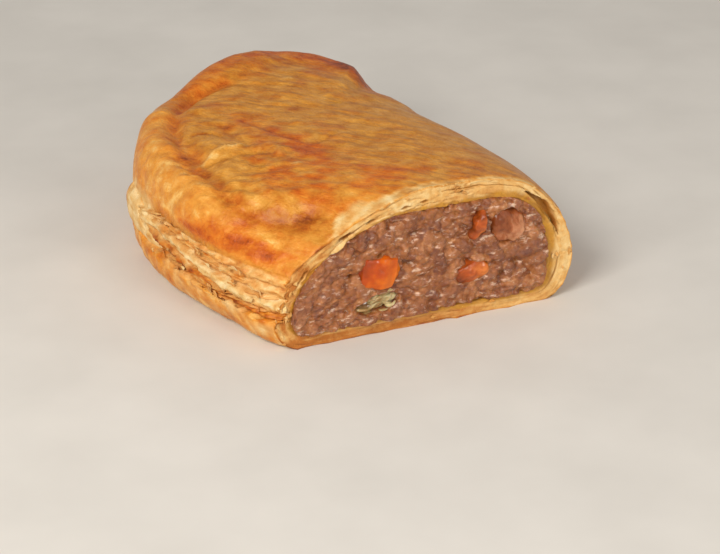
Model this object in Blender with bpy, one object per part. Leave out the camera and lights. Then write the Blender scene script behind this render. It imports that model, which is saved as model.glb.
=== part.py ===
"""The larger part of a D-shaped pasty that was cut across with a knife.

A sheet of puff pastry is folded over a filling of minced meat and diced vegetables. The fold is
the long side at +X. The other edge is sealed by a die, bakes open into leaves, and runs from the
cut round the back to the fold's far end. The knife's cut faces -Y and shows the filling.

All sizes are in millimetres and become metres when a mesh is made.
"""

import math
import random

import bmesh
import bpy
import numpy as np
from mathutils import Matrix, Vector, noise

MM = 0.001

# plan of the whole pasty, two half superellipses that share their length
HALF_LENGTH = 75.5
SEAM_DEPTH = 72.0
SEAM_SQUARENESS = 2.2
FOLD_DEPTH = 29.5
FOLD_SQUARENESS = 2.35
CENTRE_TO_CUT = 50.8
CENTRE_FROM_CUT_END = 58.7
LEAN_DEG = 10.0

# heights
RIDGE_HEIGHT_AT_CUT = 40.6
RIDGE_HEIGHT_AT_BACK = 36.6
SEAM_SHOULDER_AT_CUT = 38.4
SEAM_SHOULDER_AT_BACK = 35.2
FOLD_RUN_AT_CUT = 31.0
FOLD_RUN_AT_BACK = 37.5
GROOVE_DEPTH = 2.1
LIP_HEIGHT = 8.4
WAIST_OF_FOLD = 13.0
LID_EDGE_NEAR_CUT = 21.5
LID_EDGE_AT_BACK = 16.0
# baked leaves of the seam from the lip upwards: inset of the leaf, inset of the crack above it,
# and how far up both are on the way from the lip to the lid's edge
LEAVES = (
    (0.7, 4.8, 0.12, 0.27),
    (2.5, 4.6, 0.50, 0.62),
    (2.6, 4.5, 0.78, 0.88),
)

# ridge line under the highest part of the lid, from the cut to the pole of the round end
RIDGE_AT_CUT = 53.0
RIDGE_AT_POLE = 44.0
POLE_FROM_CUT = 70.0

# pastry walls
BASE_THICKNESS = 3.8
LID_THICKNESS = 6.7
SEAM_WALL_AT_CUT = 4.4
SEAM_WALL = 12.0
FOLD_WALL = 7.9
CLEARANCE = 0.35

# mesh density
STRAIGHT_RAILS = 20
ROUND_RAILS = 44
NOISE_SEED = 7.3
LUMP_SEED = 11

CRUST_COLOUR = (0.72, 0.36, 0.10)
FILLING_COLOUR = (0.30, 0.13, 0.07)
CARROT_COLOUR = (0.80, 0.19, 0.02)
ONION_COLOUR = (0.42, 0.34, 0.14)
LUMP_COLOUR = (0.34, 0.14, 0.08)


def smooth_step(low, high, value):
    """0 below low, 1 above high and a soft change between them."""
    share = np.clip((value - low) / (high - low), 0.0, 1.0)
    return share * share * (3.0 - 2.0 * share)


def wander(along, lane, wave):
    """Uneven value from -1 to 1 that changes over about one wave of length along."""
    return noise.noise(Vector((along / wave, lane * 5.37, NOISE_SEED))) * 1.6


def outline_point(angle):
    """Point of the whole pasty's edge. Angle 0 is the far tip, and it grows towards the seam."""
    on_seam = math.sin(angle) > 0.0
    depth = SEAM_DEPTH if on_seam else FOLD_DEPTH
    power = 2.0 / (SEAM_SQUARENESS if on_seam else FOLD_SQUARENESS)
    along = HALF_LENGTH * math.copysign(abs(math.cos(angle)) ** power, math.cos(angle))
    across = -depth * math.copysign(abs(math.sin(angle)) ** power, math.sin(angle))
    lean = math.radians(LEAN_DEG)
    x = CENTRE_FROM_CUT_END + across * math.cos(lean) - along * math.sin(lean)
    y = CENTRE_TO_CUT + across * math.sin(lean) + along * math.cos(lean)
    return x, y


def kept_outline(samples=1440):
    """Edge of the piece behind the cut, from the cut's seam end round the back to its fold end."""
    points = [outline_point(math.tau * (0.5 - i / samples)) for i in range(samples + 1)]
    points = np.array([p for p in points if p[1] > -0.4])
    first = int(np.argmin(points[:, 1] + 1000.0 * (points[:, 0] > CENTRE_FROM_CUT_END)))
    return np.roll(points, -first, axis=0)


def make_rails():
    """Points on the edge, each with its place on the ridge line and its length along the edge."""
    edge = kept_outline()
    steps = np.hypot(*np.diff(edge, axis=0).T)
    length = np.concatenate([[0.0], np.cumsum(steps)])
    turn = int(np.argmax(edge[:, 1]))
    left_pole = np.interp(POLE_FROM_CUT, edge[:turn, 1], length[:turn])
    right_pole = np.interp(POLE_FROM_CUT, edge[:turn:-1, 1], length[:turn:-1])
    left_cut = np.interp(0.0, edge[:turn, 1], length[:turn])
    right_cut = np.interp(0.0, edge[:turn:-1, 1], length[:turn:-1])
    out = np.linspace(left_cut, left_pole, STRAIGHT_RAILS + 1)
    across = np.linspace(left_pole, right_pole, ROUND_RAILS + 1)[1:-1]
    back = np.linspace(right_pole, right_cut, STRAIGHT_RAILS + 1)
    places = np.concatenate([out, across, back])
    shares = np.concatenate(
        [
            np.linspace(0.0, 1.0, STRAIGHT_RAILS + 1),
            np.ones(ROUND_RAILS - 1),
            np.linspace(1.0, 0.0, STRAIGHT_RAILS + 1),
        ]
    )
    x = np.interp(places, length, edge[:, 0])
    y = np.interp(places, length, edge[:, 1])
    y[0] = y[-1] = 0.0
    corner = np.interp(0.80, [0.0, 1.0], [left_cut, right_pole])
    rails = []
    for i, place in enumerate(places):
        share = float(shares[i])
        rails.append(
            {
                "edge": Vector((x[i], y[i])),
                "share": share,
                "ridge": Vector(
                    (
                        RIDGE_AT_CUT + (RIDGE_AT_POLE - RIDGE_AT_CUT) * share,
                        POLE_FROM_CUT * share,
                    )
                ),
                "along": float(place - left_cut),
                "seam": float(1.0 - smooth_step(corner, right_pole, place)),
                "near_cut": float(1.0 - smooth_step(4.0, 38.0, y[i])),
                "opened": float(1.0 - smooth_step(left_cut + 48.0, left_cut + 84.0, place)),
            }
        )
    return rails


def between(first, last, share):
    """A size that changes evenly from first to last."""
    return first + (last - first) * share


def mix(fold_value, seam_value, rail):
    """A size that differs between the fold's side and the seam's side."""
    return fold_value + (seam_value - fold_value) * rail["seam"]


def ridge_height(rail):
    """Height of the lid over the ridge line."""
    return between(RIDGE_HEIGHT_AT_CUT, RIDGE_HEIGHT_AT_BACK, rail["share"])


def lid_shoulder(rail):
    """Run, squareness and height of the lid's rounded shoulder. It is steep at the back and slack
    where the knife pressed it at the seam's end of the cut."""
    seam_run = 9.5 + 20.0 * rail["near_cut"]
    seam_power = 2.55 - 1.35 * rail["near_cut"]
    seam_top = between(SEAM_SHOULDER_AT_BACK, SEAM_SHOULDER_AT_CUT, rail["near_cut"])
    fold_run = between(FOLD_RUN_AT_CUT, FOLD_RUN_AT_BACK, rail["share"])
    fold_top = ridge_height(rail) - 0.05
    return mix(fold_run, seam_run, rail), mix(2.0, seam_power, rail), mix(fold_top, seam_top, rail)


def bottom_corner(rail):
    """Stations from the flat base round its lower edge, as (inset, height)."""
    run = mix(8.5, 7.0, rail)
    rise = mix(WAIST_OF_FOLD, LIP_HEIGHT, rail)
    found = []
    for step in range(5):
        angle = math.radians(22.5 * step)
        found.append((run * (1.0 - math.sin(angle)), rise * (1.0 - math.cos(angle))))
    return found


def lid_edge(rail):
    """Inset and height of the lid's lower edge. The seam has opened more near the cut."""
    seam_inset = 0.9 + 1.7 * rail["opened"] + 1.6 * rail["near_cut"]
    seam_height = between(LID_EDGE_AT_BACK, LID_EDGE_NEAR_CUT, rail["opened"])
    return mix(0.1, seam_inset, rail), mix(WAIST_OF_FOLD + 0.8, seam_height, rail)


def seam_leaves(rail):
    """Stations of the baked edge: each leaf stands out and the crack above it goes back in."""
    start = mix(WAIST_OF_FOLD, LIP_HEIGHT, rail)
    rise = lid_edge(rail)[1] - start
    found = []
    for number, (out, crack, leaf_top, crack_top) in enumerate(LEAVES):
        ragged = 1.1 * wander(rail["along"], number + 1, 9.0)
        deep = 0.9 * wander(rail["along"], number + 11, 14.0)
        lift = 0.06 * wander(rail["along"], 41.0 + number, 17.0)
        for inset, share in ((out + ragged, leaf_top + lift), (crack + deep, crack_top + lift)):
            found.append((mix(0.1, max(inset, 0.1), rail), start + rise * share))
    return found


def lid_side(rail):
    """Stations over the lid's shoulder, from its lower edge to the shoulder's top."""
    run, power, top = lid_shoulder(rail)
    overhang, start = lid_edge(rail)
    found = []
    for step in range(8):
        angle = math.radians(90.0 * step / 7.0)
        inset = overhang + run * (1.0 - math.cos(angle) ** (2.0 / power))
        height = start + (top - start) * math.sin(angle) ** (2.0 / power)
        bulge = 0.9 * wander(rail["along"], 21.0, 26.0) * math.sin(2.0 * angle)
        found.append((inset - bulge * rail["seam"], height))
    return found


def lid_groove(rail, inset, height):
    """Stations across the groove that the die pressed round the seam's side of the lid."""
    depth = GROOVE_DEPTH * rail["seam"] ** 2 * (1.0 - 0.75 * rail["near_cut"])
    depth *= 1.0 + 0.35 * wander(rail["along"], 31.0, 30.0)
    found = []
    for across, share in ((2.2, 0.35), (4.4, 1.0), (6.4, 0.75), (9.0, 0.0)):
        across *= mix(0.3, 1.0, rail)
        found.append((inset + across, height - depth * share))
    return found


def outer_profile(rail):
    """All stations of the outside, from the base's ridge line round to the lid's, as points."""
    reach = (rail["edge"] - rail["ridge"]).length
    corner = bottom_corner(rail)
    leaves = seam_leaves(rail)
    side = lid_side(rail)
    groove = lid_groove(rail, side[-1][0], lid_shoulder(rail)[2])
    stations = [(reach * share, 0.0) for share in (1.0, 0.7, 0.4)]
    stations += corner + leaves + side + groove
    edge_inset, edge_height = groove[-1]
    for share in (0.22, 0.48, 0.75, 1.0):
        inset = edge_inset + (reach - edge_inset) * share
        height = edge_height + (ridge_height(rail) - edge_height) * (1.0 - (1.0 - share) ** 2)
        stations.append((inset, height))
    inward = (rail["ridge"] - rail["edge"]).normalized()
    points = []
    for number, (inset, height) in enumerate(stations):
        flat = rail["edge"] + inward * min(inset, reach)
        point = Vector((flat.x, flat.y, height))
        if height > 22.0:
            # soft blisters over the lid, the same from both sides of the ridge line
            point.z += 0.55 * noise.noise(Vector((flat.x / 9.0, flat.y / 22.0, NOISE_SEED)))
        points.append(point)
    return points


def inner_profile(rail, gap):
    """Stations of the hollow for the filling. A gap above 0 draws a smaller body inside it."""
    reach = (rail["edge"] - rail["ridge"]).length
    seam_wall = SEAM_WALL + (SEAM_WALL_AT_CUT - SEAM_WALL) * rail["near_cut"]
    wall = mix(FOLD_WALL, seam_wall, rail) + gap
    floor = BASE_THICKNESS + gap
    waist = mix(WAIST_OF_FOLD, 8.5, rail)
    top = ridge_height(rail) - LID_THICKNESS - gap
    run = min(mix(19.0, 34.0, rail), reach - wall - 3.0)
    power = mix(2.4, 1.75, rail)
    stations = [(reach, floor), (wall + 0.5 * (reach - wall), floor)]
    for step in range(4):
        angle = math.radians(30.0 * step)
        stations.append(
            (wall + 5.0 * (1.0 - math.sin(angle)), floor + (waist - floor) * (1.0 - math.cos(angle)))
        )
    for step in range(1, 7):
        angle = math.radians(15.0 * step)
        inset = wall + run * (1.0 - math.cos(angle) ** (2.0 / power))
        height = waist + (top - 0.8 - waist) * math.sin(angle) ** (2.0 / power)
        stations.append((inset, height))
    stations.append((reach, top))
    inward = (rail["ridge"] - rail["edge"]).normalized()
    points = []
    for inset, height in stations:
        flat = rail["edge"] + inward * inset
        points.append(Vector((flat.x, flat.y, height)))
    return points


def new_object(name, bm, colour, roughness):
    """An object in metres from a bmesh in millimetres, with its own material."""
    bmesh.ops.scale(bm, vec=(MM, MM, MM), verts=bm.verts)
    bmesh.ops.remove_doubles(bm, verts=bm.verts, dist=1e-6)
    bmesh.ops.recalc_face_normals(bm, faces=bm.faces)
    mesh = bpy.data.meshes.new(name)
    bm.to_mesh(mesh)
    bm.free()
    made = bpy.data.objects.new(name, mesh)
    bpy.context.scene.collection.objects.link(made)
    material = bpy.data.materials.new(name)
    material.use_nodes = True
    shader = material.node_tree.nodes["Principled BSDF"]
    shader.inputs["Base Color"].default_value = (*colour, 1.0)
    shader.inputs["Roughness"].default_value = roughness
    shader.inputs["Metallic"].default_value = 0.0
    mesh.materials.append(material)
    mesh.shade_smooth()
    mesh.set_sharp_from_angle(angle=math.radians(50.0))
    return made


def loft(profiles, lead=0.0):
    """Closed bmesh through the profiles of all rails. The cut end is capped flat, and a lead
    carries it straight on in front of the cut."""
    bm = bmesh.new()
    rows = [[bm.verts.new(point) for point in profile] for profile in profiles]
    for one, two in zip(rows, rows[1:]):
        for a, b, c, d in zip(one, one[1:], two[1:], two):
            bm.faces.new((a, b, c, d))
    front = rows[0] + rows[-1][::-1]
    if lead:
        ahead = [bm.verts.new(v.co - Vector((0.0, lead, 0.0))) for v in front]
        for i, corner in enumerate(front):
            following = (i + 1) % len(front)
            bm.faces.new((corner, ahead[i], ahead[following], front[following]))
        front = ahead
    bm.faces.new(front)
    bmesh.ops.remove_doubles(bm, verts=bm.verts, dist=0.001)
    bmesh.ops.dissolve_degenerate(bm, edges=bm.edges, dist=0.0005)
    return bm


def apply_boolean(target, other, operation, solver="EXACT"):
    """Joins or cuts target with an object or a collection, and removes what was used."""
    modifier = target.modifiers.new("boolean", "BOOLEAN")
    modifier.operation = operation
    modifier.solver = solver
    if isinstance(other, bpy.types.Collection):
        modifier.operand_type = "COLLECTION"
        modifier.collection = other
        used = list(other.objects)
    else:
        modifier.object = other
        used = [other]
    bpy.context.view_layer.update()
    graph = bpy.context.evaluated_depsgraph_get()
    mesh = bpy.data.meshes.new_from_object(target.evaluated_get(graph))
    target.modifiers.clear()
    target.data = mesh
    for thing in used:
        bpy.data.objects.remove(thing)
    if isinstance(other, bpy.types.Collection):
        bpy.data.collections.remove(other)


def to_collection(name, objects):
    """Moves objects out of the scene into a collection of their own."""
    made = bpy.data.collections.new(name)
    bpy.context.scene.collection.children.link(made)
    for thing in objects:
        bpy.context.scene.collection.objects.unlink(thing)
        made.objects.link(thing)
    return made


def contour_reach(profile_left, profile_right, centre, angle):
    """Distance from centre to a closed contour in the plane of the cut, along an angle."""
    loop = np.array([(p.x - centre[0], p.z - centre[1]) for p in profile_left + profile_right[::-1]])
    share = np.arange(0.0, 1.0, 0.1)[:, None]
    points = np.concatenate([a + (b - a) * share for a, b in zip(loop, np.roll(loop, -1, axis=0))])
    turned = np.degrees(np.arctan2(points[:, 1], points[:, 0])) % 360.0
    order = np.argsort(turned)
    reach = np.hypot(points[:, 0], points[:, 1])
    return float(np.interp(angle % 360.0, turned[order], reach[order], period=360.0))


# gaps between leaves of pastry that show in the cut: start and end angle round the filling's
# middle, share of the wall from the inside, width and depth
SECTION_CENTRE = (48.0, 18.0)
LEAF_GAPS = (
    (-4.0, 27.0, 0.50, 2.5, 9.0),
    (33.0, 58.0, 0.48, 0.8, 4.0),
    (-24.0, -8.0, 0.45, 0.9, 4.0),
    (116.0, 125.0, 0.42, 1.1, 3.0),
    (149.0, 161.0, 0.38, 1.9, 6.0),
    (171.0, 181.0, 0.36, 1.3, 4.0),
)


def leaf_gap(number, sizes, outer, inner):
    """Lens-shaped cutter that follows the pastry's wall in the cut."""
    start, end, share, width, depth = sizes
    steps = 9
    middle = []
    for i in range(steps + 1):
        angle = start + (end - start) * i / steps
        near = contour_reach(*inner, SECTION_CENTRE, angle)
        far = contour_reach(*outer, SECTION_CENTRE, angle)
        half = 0.5 * width * math.sin(math.pi * i / steps)
        radius = near + share * (far - near)
        middle.append((math.radians(angle), radius, half))
    loop = [(a, r + half) for a, r, half in middle]
    loop += [(a, r - half) for a, r, half in reversed(middle[1:-1])]
    bm = bmesh.new()
    face = bm.faces.new(
        [
            bm.verts.new((SECTION_CENTRE[0] + r * math.cos(a), -2.0, SECTION_CENTRE[1] + r * math.sin(a)))
            for a, r in loop
        ]
    )
    moved = bmesh.ops.extrude_face_region(bm, geom=[face])["geom"]
    verts = [v for v in moved if isinstance(v, bmesh.types.BMVert)]
    bmesh.ops.translate(bm, verts=verts, vec=(0.0, 2.0 + depth, 0.0))
    # the pocket closes towards its back
    centre = sum((v.co for v in verts), Vector()) / len(verts)
    for v in verts:
        v.co = centre + (v.co - centre) * 0.8
    return new_object(f"gap_{number}", bm, CRUST_COLOUR, 0.6)


def rounded_block(name, centre, size, turn_deg, colour, grow=0.0, seed=0.0):
    """A diced piece with worn edges, centred in the cut and turned in the cut's plane."""
    bm = bmesh.new()
    bmesh.ops.create_cube(bm, size=2.0)
    bmesh.ops.subdivide_edges(bm, edges=bm.edges, cuts=3, use_grid_fill=True)
    for v in bm.verts:
        ball = v.co.normalized() * 1.12
        v.co = v.co.lerp(ball, 0.55)
        bump = noise.noise(v.co * 1.1 + Vector((seed, seed, seed)))
        v.co *= 1.0 + 0.10 * bump
        v.co = Vector(v.co[i] * (size[i] / 2.0 + grow) for i in range(3))
    turn = Matrix.Rotation(math.radians(turn_deg), 4, "Y")
    bmesh.ops.transform(bm, matrix=Matrix.Translation(centre) @ turn, verts=bm.verts)
    return new_object(name, bm, colour, 0.35)


# pieces that show whole in the cut: middle, size, turn, colour and a number for their unevenness
SHOWN_PIECES = {
    "carrot_large": ((32.6, 2.0, 18.3), (11.2, 8.6, 8.0), 8.0, CARROT_COLOUR, 1.0),
    "carrot_upper": ((61.4, 2.2, 27.2), (3.6, 7.6, 7.4), -10.0, CARROT_COLOUR, 4.0),
    "carrot_lower": ((59.9, 2.0, 13.2), (10.0, 7.6, 5.0), -22.0, CARROT_COLOUR, 7.0),
    "onion_piece": ((32.4, 2.2, 9.2), (13.0, 6.0, 4.0), -8.0, ONION_COLOUR, 9.0),
    "meat_lump": ((70.0, 2.6, 25.4), (10.6, 9.6, 9.8), 20.0, LUMP_COLOUR, 12.0),
}


def make_crust(rails):
    """The pastry: one closed shell round the filling, open at the cut."""
    outer = [outer_profile(rail) for rail in rails]
    inner = [inner_profile(rail, 0.0) for rail in rails]
    crust = new_object("crust", loft(outer), CRUST_COLOUR, 0.5)
    hollow = new_object("hollow", loft(inner[::2], lead=6.0), CRUST_COLOUR, 0.5)
    apply_boolean(crust, hollow, "DIFFERENCE")
    outer_loop = (outer[0], outer[-1])
    inner_loop = (inner[0], inner[-1])
    gaps = [leaf_gap(i, sizes, outer_loop, inner_loop) for i, sizes in enumerate(LEAF_GAPS)]
    apply_boolean(crust, to_collection("gaps", gaps), "DIFFERENCE")
    return crust


def mince_places(rails):
    """Middles and radii of the mince that shows, one for each cell of an uneven grid."""
    draw = random.Random(LUMP_SEED)
    loop = (inner_profile(rails[0], CLEARANCE), inner_profile(rails[-1], CLEARANCE))
    cell = 4.7
    places = []
    for row in range(9):
        for column in range(19):
            shift = 0.5 * (row % 2)
            x = 6.0 + (column + shift) * cell + draw.uniform(-1.1, 1.1)
            z = 4.5 + row * cell * 0.82 + draw.uniform(-0.9, 0.9)
            radius = draw.uniform(1.9, 3.2)
            angle = math.degrees(math.atan2(z - SECTION_CENTRE[1], x - SECTION_CENTRE[0]))
            away = math.hypot(x - SECTION_CENTRE[0], z - SECTION_CENTRE[1])
            if away + radius + 0.5 > contour_reach(*loop, SECTION_CENTRE, angle):
                continue
            places.append((x, z, radius, draw.uniform(0.0, 360.0)))
    return places


def clear_of_pieces(x, z, radius):
    """Whether a lump of mince stays off the pieces that show whole."""
    for centre, size, turn_deg, _, _ in SHOWN_PIECES.values():
        turn = math.radians(turn_deg)
        dx, dz = x - centre[0], z - centre[2]
        along = dx * math.cos(turn) - dz * math.sin(turn)
        across = dx * math.sin(turn) + dz * math.cos(turn)
        reach = ((along / (size[0] / 2 + radius)) ** 2 + (across / (size[2] / 2 + radius)) ** 2) ** 0.5
        if reach < 1.06:
            return False
    return True


def make_mince(number, x, z, radius, turn):
    """One crumb of mince, an uneven ball that stands a little out of the cut."""
    bm = bmesh.new()
    bmesh.ops.create_icosphere(bm, subdivisions=1, radius=1.0)
    for v in bm.verts:
        bump = noise.noise(v.co * 1.3 + Vector((number, turn, 0.0)))
        v.co = v.co * (1.0 + 0.22 * bump)
    size = Matrix.Diagonal((radius * 1.1, radius * 0.95, radius * 0.85, 1.0))
    place = Matrix.Translation((x, 0.9, z)) @ Matrix.Rotation(math.radians(turn), 4, "Y")
    bmesh.ops.transform(bm, matrix=place @ size, verts=bm.verts)
    return new_object(f"mince_{number}", bm, FILLING_COLOUR, 0.4)


def make_filling(rails):
    """The filling fills the hollow, with crumbs of mince fused to the face that shows."""
    body = [inner_profile(rail, CLEARANCE) for rail in rails[::2]]
    filling = new_object("filling", loft(body), FILLING_COLOUR, 0.4)
    sockets = [
        rounded_block(f"socket_{name}", centre, size, turn, colour, grow=CLEARANCE, seed=seed)
        for name, (centre, size, turn, colour, seed) in SHOWN_PIECES.items()
    ]
    apply_boolean(filling, to_collection("sockets", sockets), "DIFFERENCE")
    crumbs = [
        make_mince(i, *place)
        for i, place in enumerate(mince_places(rails))
        if clear_of_pieces(place[0], place[1], place[2])
    ]
    print(f"mince crumbs: {len(crumbs)}")
    apply_boolean(filling, to_collection("crumbs", crumbs), "UNION")
    return filling


def drop_loose_scraps(thing):
    """Keeps the largest connected body of a mesh."""
    bm = bmesh.new()
    bm.from_mesh(thing.data)
    left = set(bm.verts)
    bodies = []
    while left:
        body, edge = set(), [left.pop()]
        while edge:
            v = edge.pop()
            body.add(v)
            for e in v.link_edges:
                other = e.other_vert(v)
                if other in left:
                    left.discard(other)
                    edge.append(other)
        bodies.append(body)
    bodies.sort(key=len)
    for body in bodies[:-1]:
        bmesh.ops.delete(bm, geom=list(body), context="VERTS")
    bm.to_mesh(thing.data)
    bm.free()


def set_on_origin(things):
    """Moves every mesh so that the middle of the whole's base is the origin."""
    bpy.context.view_layer.update()
    corners = np.array([v.co for thing in things for v in thing.data.vertices])
    low, high = corners.min(0), corners.max(0)
    shift = Matrix.Translation((-(low[0] + high[0]) / 2, -(low[1] + high[1]) / 2, -low[2]))
    for thing in things:
        thing.data.transform(shift)
    print("shift to the origin in mm:", [round(v / MM, 3) for v in shift.translation])


def build():
    for thing in list(bpy.data.objects):
        bpy.data.objects.remove(thing)
    rails = make_rails()
    things = [make_crust(rails), make_filling(rails)]
    for name, (centre, size, turn, colour, seed) in SHOWN_PIECES.items():
        things.append(rounded_block(name, centre, size, turn, colour, seed=seed))
    for thing in things:
        drop_loose_scraps(thing)
    set_on_origin(things)
    for thing in things:
        thing.data.calc_loop_triangles()
        print(thing.name, len(thing.data.loop_triangles), "triangles")


build()
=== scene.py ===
# %% [markdown]
# # A pasty cut across
# The real thing is a sheet of puff pastry folded over a cooked filling. Its long side is the fold,
# its round side is a seam that a die pressed shut and the oven opened again into leaves. A knife
# took one end off, so the filling shows.
#
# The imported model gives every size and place. This lesson dresses it: first the camera and the
# helpers, then the pastry, the leaves, the mince and the diced vegetables, and last the materials
# and the light.

# %% load the frame
import math
import random
import bmesh
import bpy
import numpy as np
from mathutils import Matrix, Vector


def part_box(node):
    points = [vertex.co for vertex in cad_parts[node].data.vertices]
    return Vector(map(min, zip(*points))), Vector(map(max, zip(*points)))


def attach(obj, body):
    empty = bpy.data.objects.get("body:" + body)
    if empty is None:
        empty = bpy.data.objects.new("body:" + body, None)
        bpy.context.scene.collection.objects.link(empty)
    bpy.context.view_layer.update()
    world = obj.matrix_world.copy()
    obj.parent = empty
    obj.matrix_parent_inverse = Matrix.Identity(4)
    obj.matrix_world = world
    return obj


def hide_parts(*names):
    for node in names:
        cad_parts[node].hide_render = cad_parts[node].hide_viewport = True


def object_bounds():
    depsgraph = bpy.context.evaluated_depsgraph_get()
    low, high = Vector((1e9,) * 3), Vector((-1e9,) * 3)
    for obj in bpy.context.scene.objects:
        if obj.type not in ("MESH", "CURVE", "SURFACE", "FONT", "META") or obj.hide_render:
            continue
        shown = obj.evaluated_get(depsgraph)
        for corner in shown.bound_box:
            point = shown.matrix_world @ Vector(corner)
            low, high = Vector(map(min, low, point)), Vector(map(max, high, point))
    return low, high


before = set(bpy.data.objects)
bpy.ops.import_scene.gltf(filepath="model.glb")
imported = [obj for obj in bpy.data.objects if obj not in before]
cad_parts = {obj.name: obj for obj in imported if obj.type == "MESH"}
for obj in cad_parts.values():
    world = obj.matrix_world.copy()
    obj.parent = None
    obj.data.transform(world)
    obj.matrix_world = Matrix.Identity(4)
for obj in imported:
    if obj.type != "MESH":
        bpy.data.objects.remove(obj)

cad_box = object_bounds()
MM = 0.001
print("nodes:", sorted(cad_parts))

# %% [markdown]
# ## Where things are
# The cut is a flat plane, and its lowest left corner is an easy place to measure from. All shapes
# below are worked out in millimetres from the cut: x along it towards the fold, y back into the
# pastry and z up. The crust's own box says how far that frame is from the part's origin.

# %% the frame of the cut
HALF_LENGTH = 75.5
SEAM_DEPTH, SEAM_SQUARENESS = 72.0, 2.2
FOLD_DEPTH, FOLD_SQUARENESS = 29.5, 2.35
CENTRE = (58.7, 50.8)
LEAN = math.radians(10.0)
EDGE_STEPS = 2880


def outline(angles):
    """Edge of the whole pasty: two half superellipses, flat for the seam and slim for the fold."""
    sine, cosine = np.sin(angles), np.cos(angles)
    seam_side = sine > 0
    depth = np.where(seam_side, SEAM_DEPTH, FOLD_DEPTH)
    power = 2.0 / np.where(seam_side, SEAM_SQUARENESS, FOLD_SQUARENESS)
    along = HALF_LENGTH * np.sign(cosine) * np.abs(cosine) ** power
    across = -depth * np.sign(sine) * np.abs(sine) ** power
    x = CENTRE[0] + across * math.cos(LEAN) - along * math.sin(LEAN)
    y = CENTRE[1] + across * math.sin(LEAN) + along * math.cos(LEAN)
    return np.stack([x, y], axis=1)


whole_edge = outline(math.tau * (0.5 - np.arange(EDGE_STEPS + 1) / EDGE_STEPS))
crust_low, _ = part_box("crust")
SHIFT = Vector((crust_low.x / MM - whole_edge[:, 0].min(), crust_low.y / MM, 0.0))
print("the cut's frame sits at", [round(v, 2) for v in SHIFT], "mm")

# %% camera at the photograph's angle
CAMERA_PLACE = Vector((-167.36, -466.31, 278.02))
CAMERA_AIM = Vector((0.34279, 0.82035, -0.45774)).normalized()
SENSOR_WIDTH, FOCAL_LENGTH = 36.0, 108.43
camera_data = bpy.data.cameras.new("camera")
camera_data.sensor_width = SENSOR_WIDTH
camera_data.lens = FOCAL_LENGTH
camera = bpy.data.objects.new("camera", camera_data)
camera.location = (CAMERA_PLACE + SHIFT) * MM
camera.rotation_mode = "QUATERNION"
camera.rotation_quaternion = CAMERA_AIM.to_track_quat("-Z", "Y")
bpy.context.scene.collection.objects.link(camera)
bpy.context.scene.camera = camera
print("the camera looks from", round(CAMERA_PLACE.length), "mm away")

# %% [markdown]
# ## Helpers for uneven shapes
# Nothing baked is even. A smooth random field gives the unevenness: the same point always gets the
# same value, so a seam that closes on itself stays closed, and every run gives the same pasty.
# Soft steps, paths and oval patches then say where such a field counts.

# %% smooth random fields
# whole numbers that scramble the place of a cell, always in the same way
SCRAMBLE = (73856093, 19349663, 83492791, 1274126177, 668265263)


def grain(points, wave, seed=0):
    """Gradient noise from about -1 to 1 for an array of 3-D points. wave is a length or three."""
    spot = np.asarray(points, dtype=float) / np.asarray(wave, dtype=float) + 13.7 + 7.31 * seed
    cell = np.floor(spot).astype(np.int64)
    inside = spot - cell
    fade = inside * inside * inside * (inside * (inside * 6.0 - 15.0) + 10.0)
    total = np.zeros(spot.shape[:-1])
    for corner in np.ndindex(2, 2, 2):
        near = (cell + corner) * SCRAMBLE[:3]
        code = near[..., 0] ^ near[..., 1] ^ near[..., 2]
        code = ((code ^ (code >> 13)) * SCRAMBLE[3]) & 0x7FFFFFFF
        code = ((code ^ (code >> 15)) * SCRAMBLE[4]) & 0x7FFFFFFF
        slope = np.stack([code & 1023, (code >> 10) & 1023, (code >> 20) & 1023], axis=-1) / 511.5 - 1.0
        weight = np.prod(np.where(corner, fade, 1.0 - fade), axis=-1)
        total += weight * np.sum(slope * (inside - corner), axis=-1)
    return total * 1.35


def as_points(x, y, z):
    """3-D points from three coordinates, each an array or one number for all of them."""
    return np.stack(np.broadcast_arrays(x, y, z), axis=-1)


def on_line(along, wave, seed=0):
    """The same field along a single length."""
    return grain(as_points(along, 0.0, 0.0), wave, seed)


def winding_lines(points, wave, seed, thin):
    """1 on winding lines and 0 beside them. The larger thin is, the thinner they are."""
    return np.clip(1.0 - thin * np.abs(grain(points, wave, seed)), 0.0, 1.0)


def soft_step(low, high, value):
    """0 below low, 1 above high, and a soft change between them."""
    share = np.clip((value - low) / (high - low), 0.0, 1.0)
    return share * share * (3.0 - 2.0 * share)


def soft_drop(low, high, value):
    """1 below low, 0 above high, and a soft change between them."""
    return 1.0 - soft_step(low, high, value)


def soft_window(start, full, fading, end, value):
    """0 before start, 1 from full to fading, and 0 again after end."""
    return soft_step(start, full, value) * soft_drop(fading, end, value)


def mix(first, last, share):
    """first where share is 0, last where it is 1."""
    return first + (last - first) * share


def span(values):
    """The least and the greatest of some lengths, as text."""
    return f"{values.min():.1f} to {values.max():.1f} mm"


def turned(right, up, angle):
    """Two lengths of a plane after a turn by an angle."""
    return right * math.cos(angle) + up * math.sin(angle), up * math.cos(angle) - right * math.sin(angle)


def near_path(x, y, path, width):
    """1 on a path of plan points, falling to 0 over about width on both sides."""
    best = np.full(np.shape(x), 1e9)
    for (ax, ay), (bx, by) in zip(path, path[1:]):
        dx, dy = bx - ax, by - ay
        share = np.clip(((x - ax) * dx + (y - ay) * dy) / (dx * dx + dy * dy), 0.0, 1.0)
        best = np.minimum(best, np.hypot(x - ax - share * dx, y - ay - share * dy))
    return np.exp(-((best / width) ** 2))


def blob(x, y, cx, cy, rx, ry, turn=0.0):
    """1 in the middle of an oval patch of plan, falling to 0 round it."""
    long, wide = turned(x - cx, y - cy, math.radians(turn))
    return np.exp(-((long / rx) ** 2) - (wide / ry) ** 2)


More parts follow.
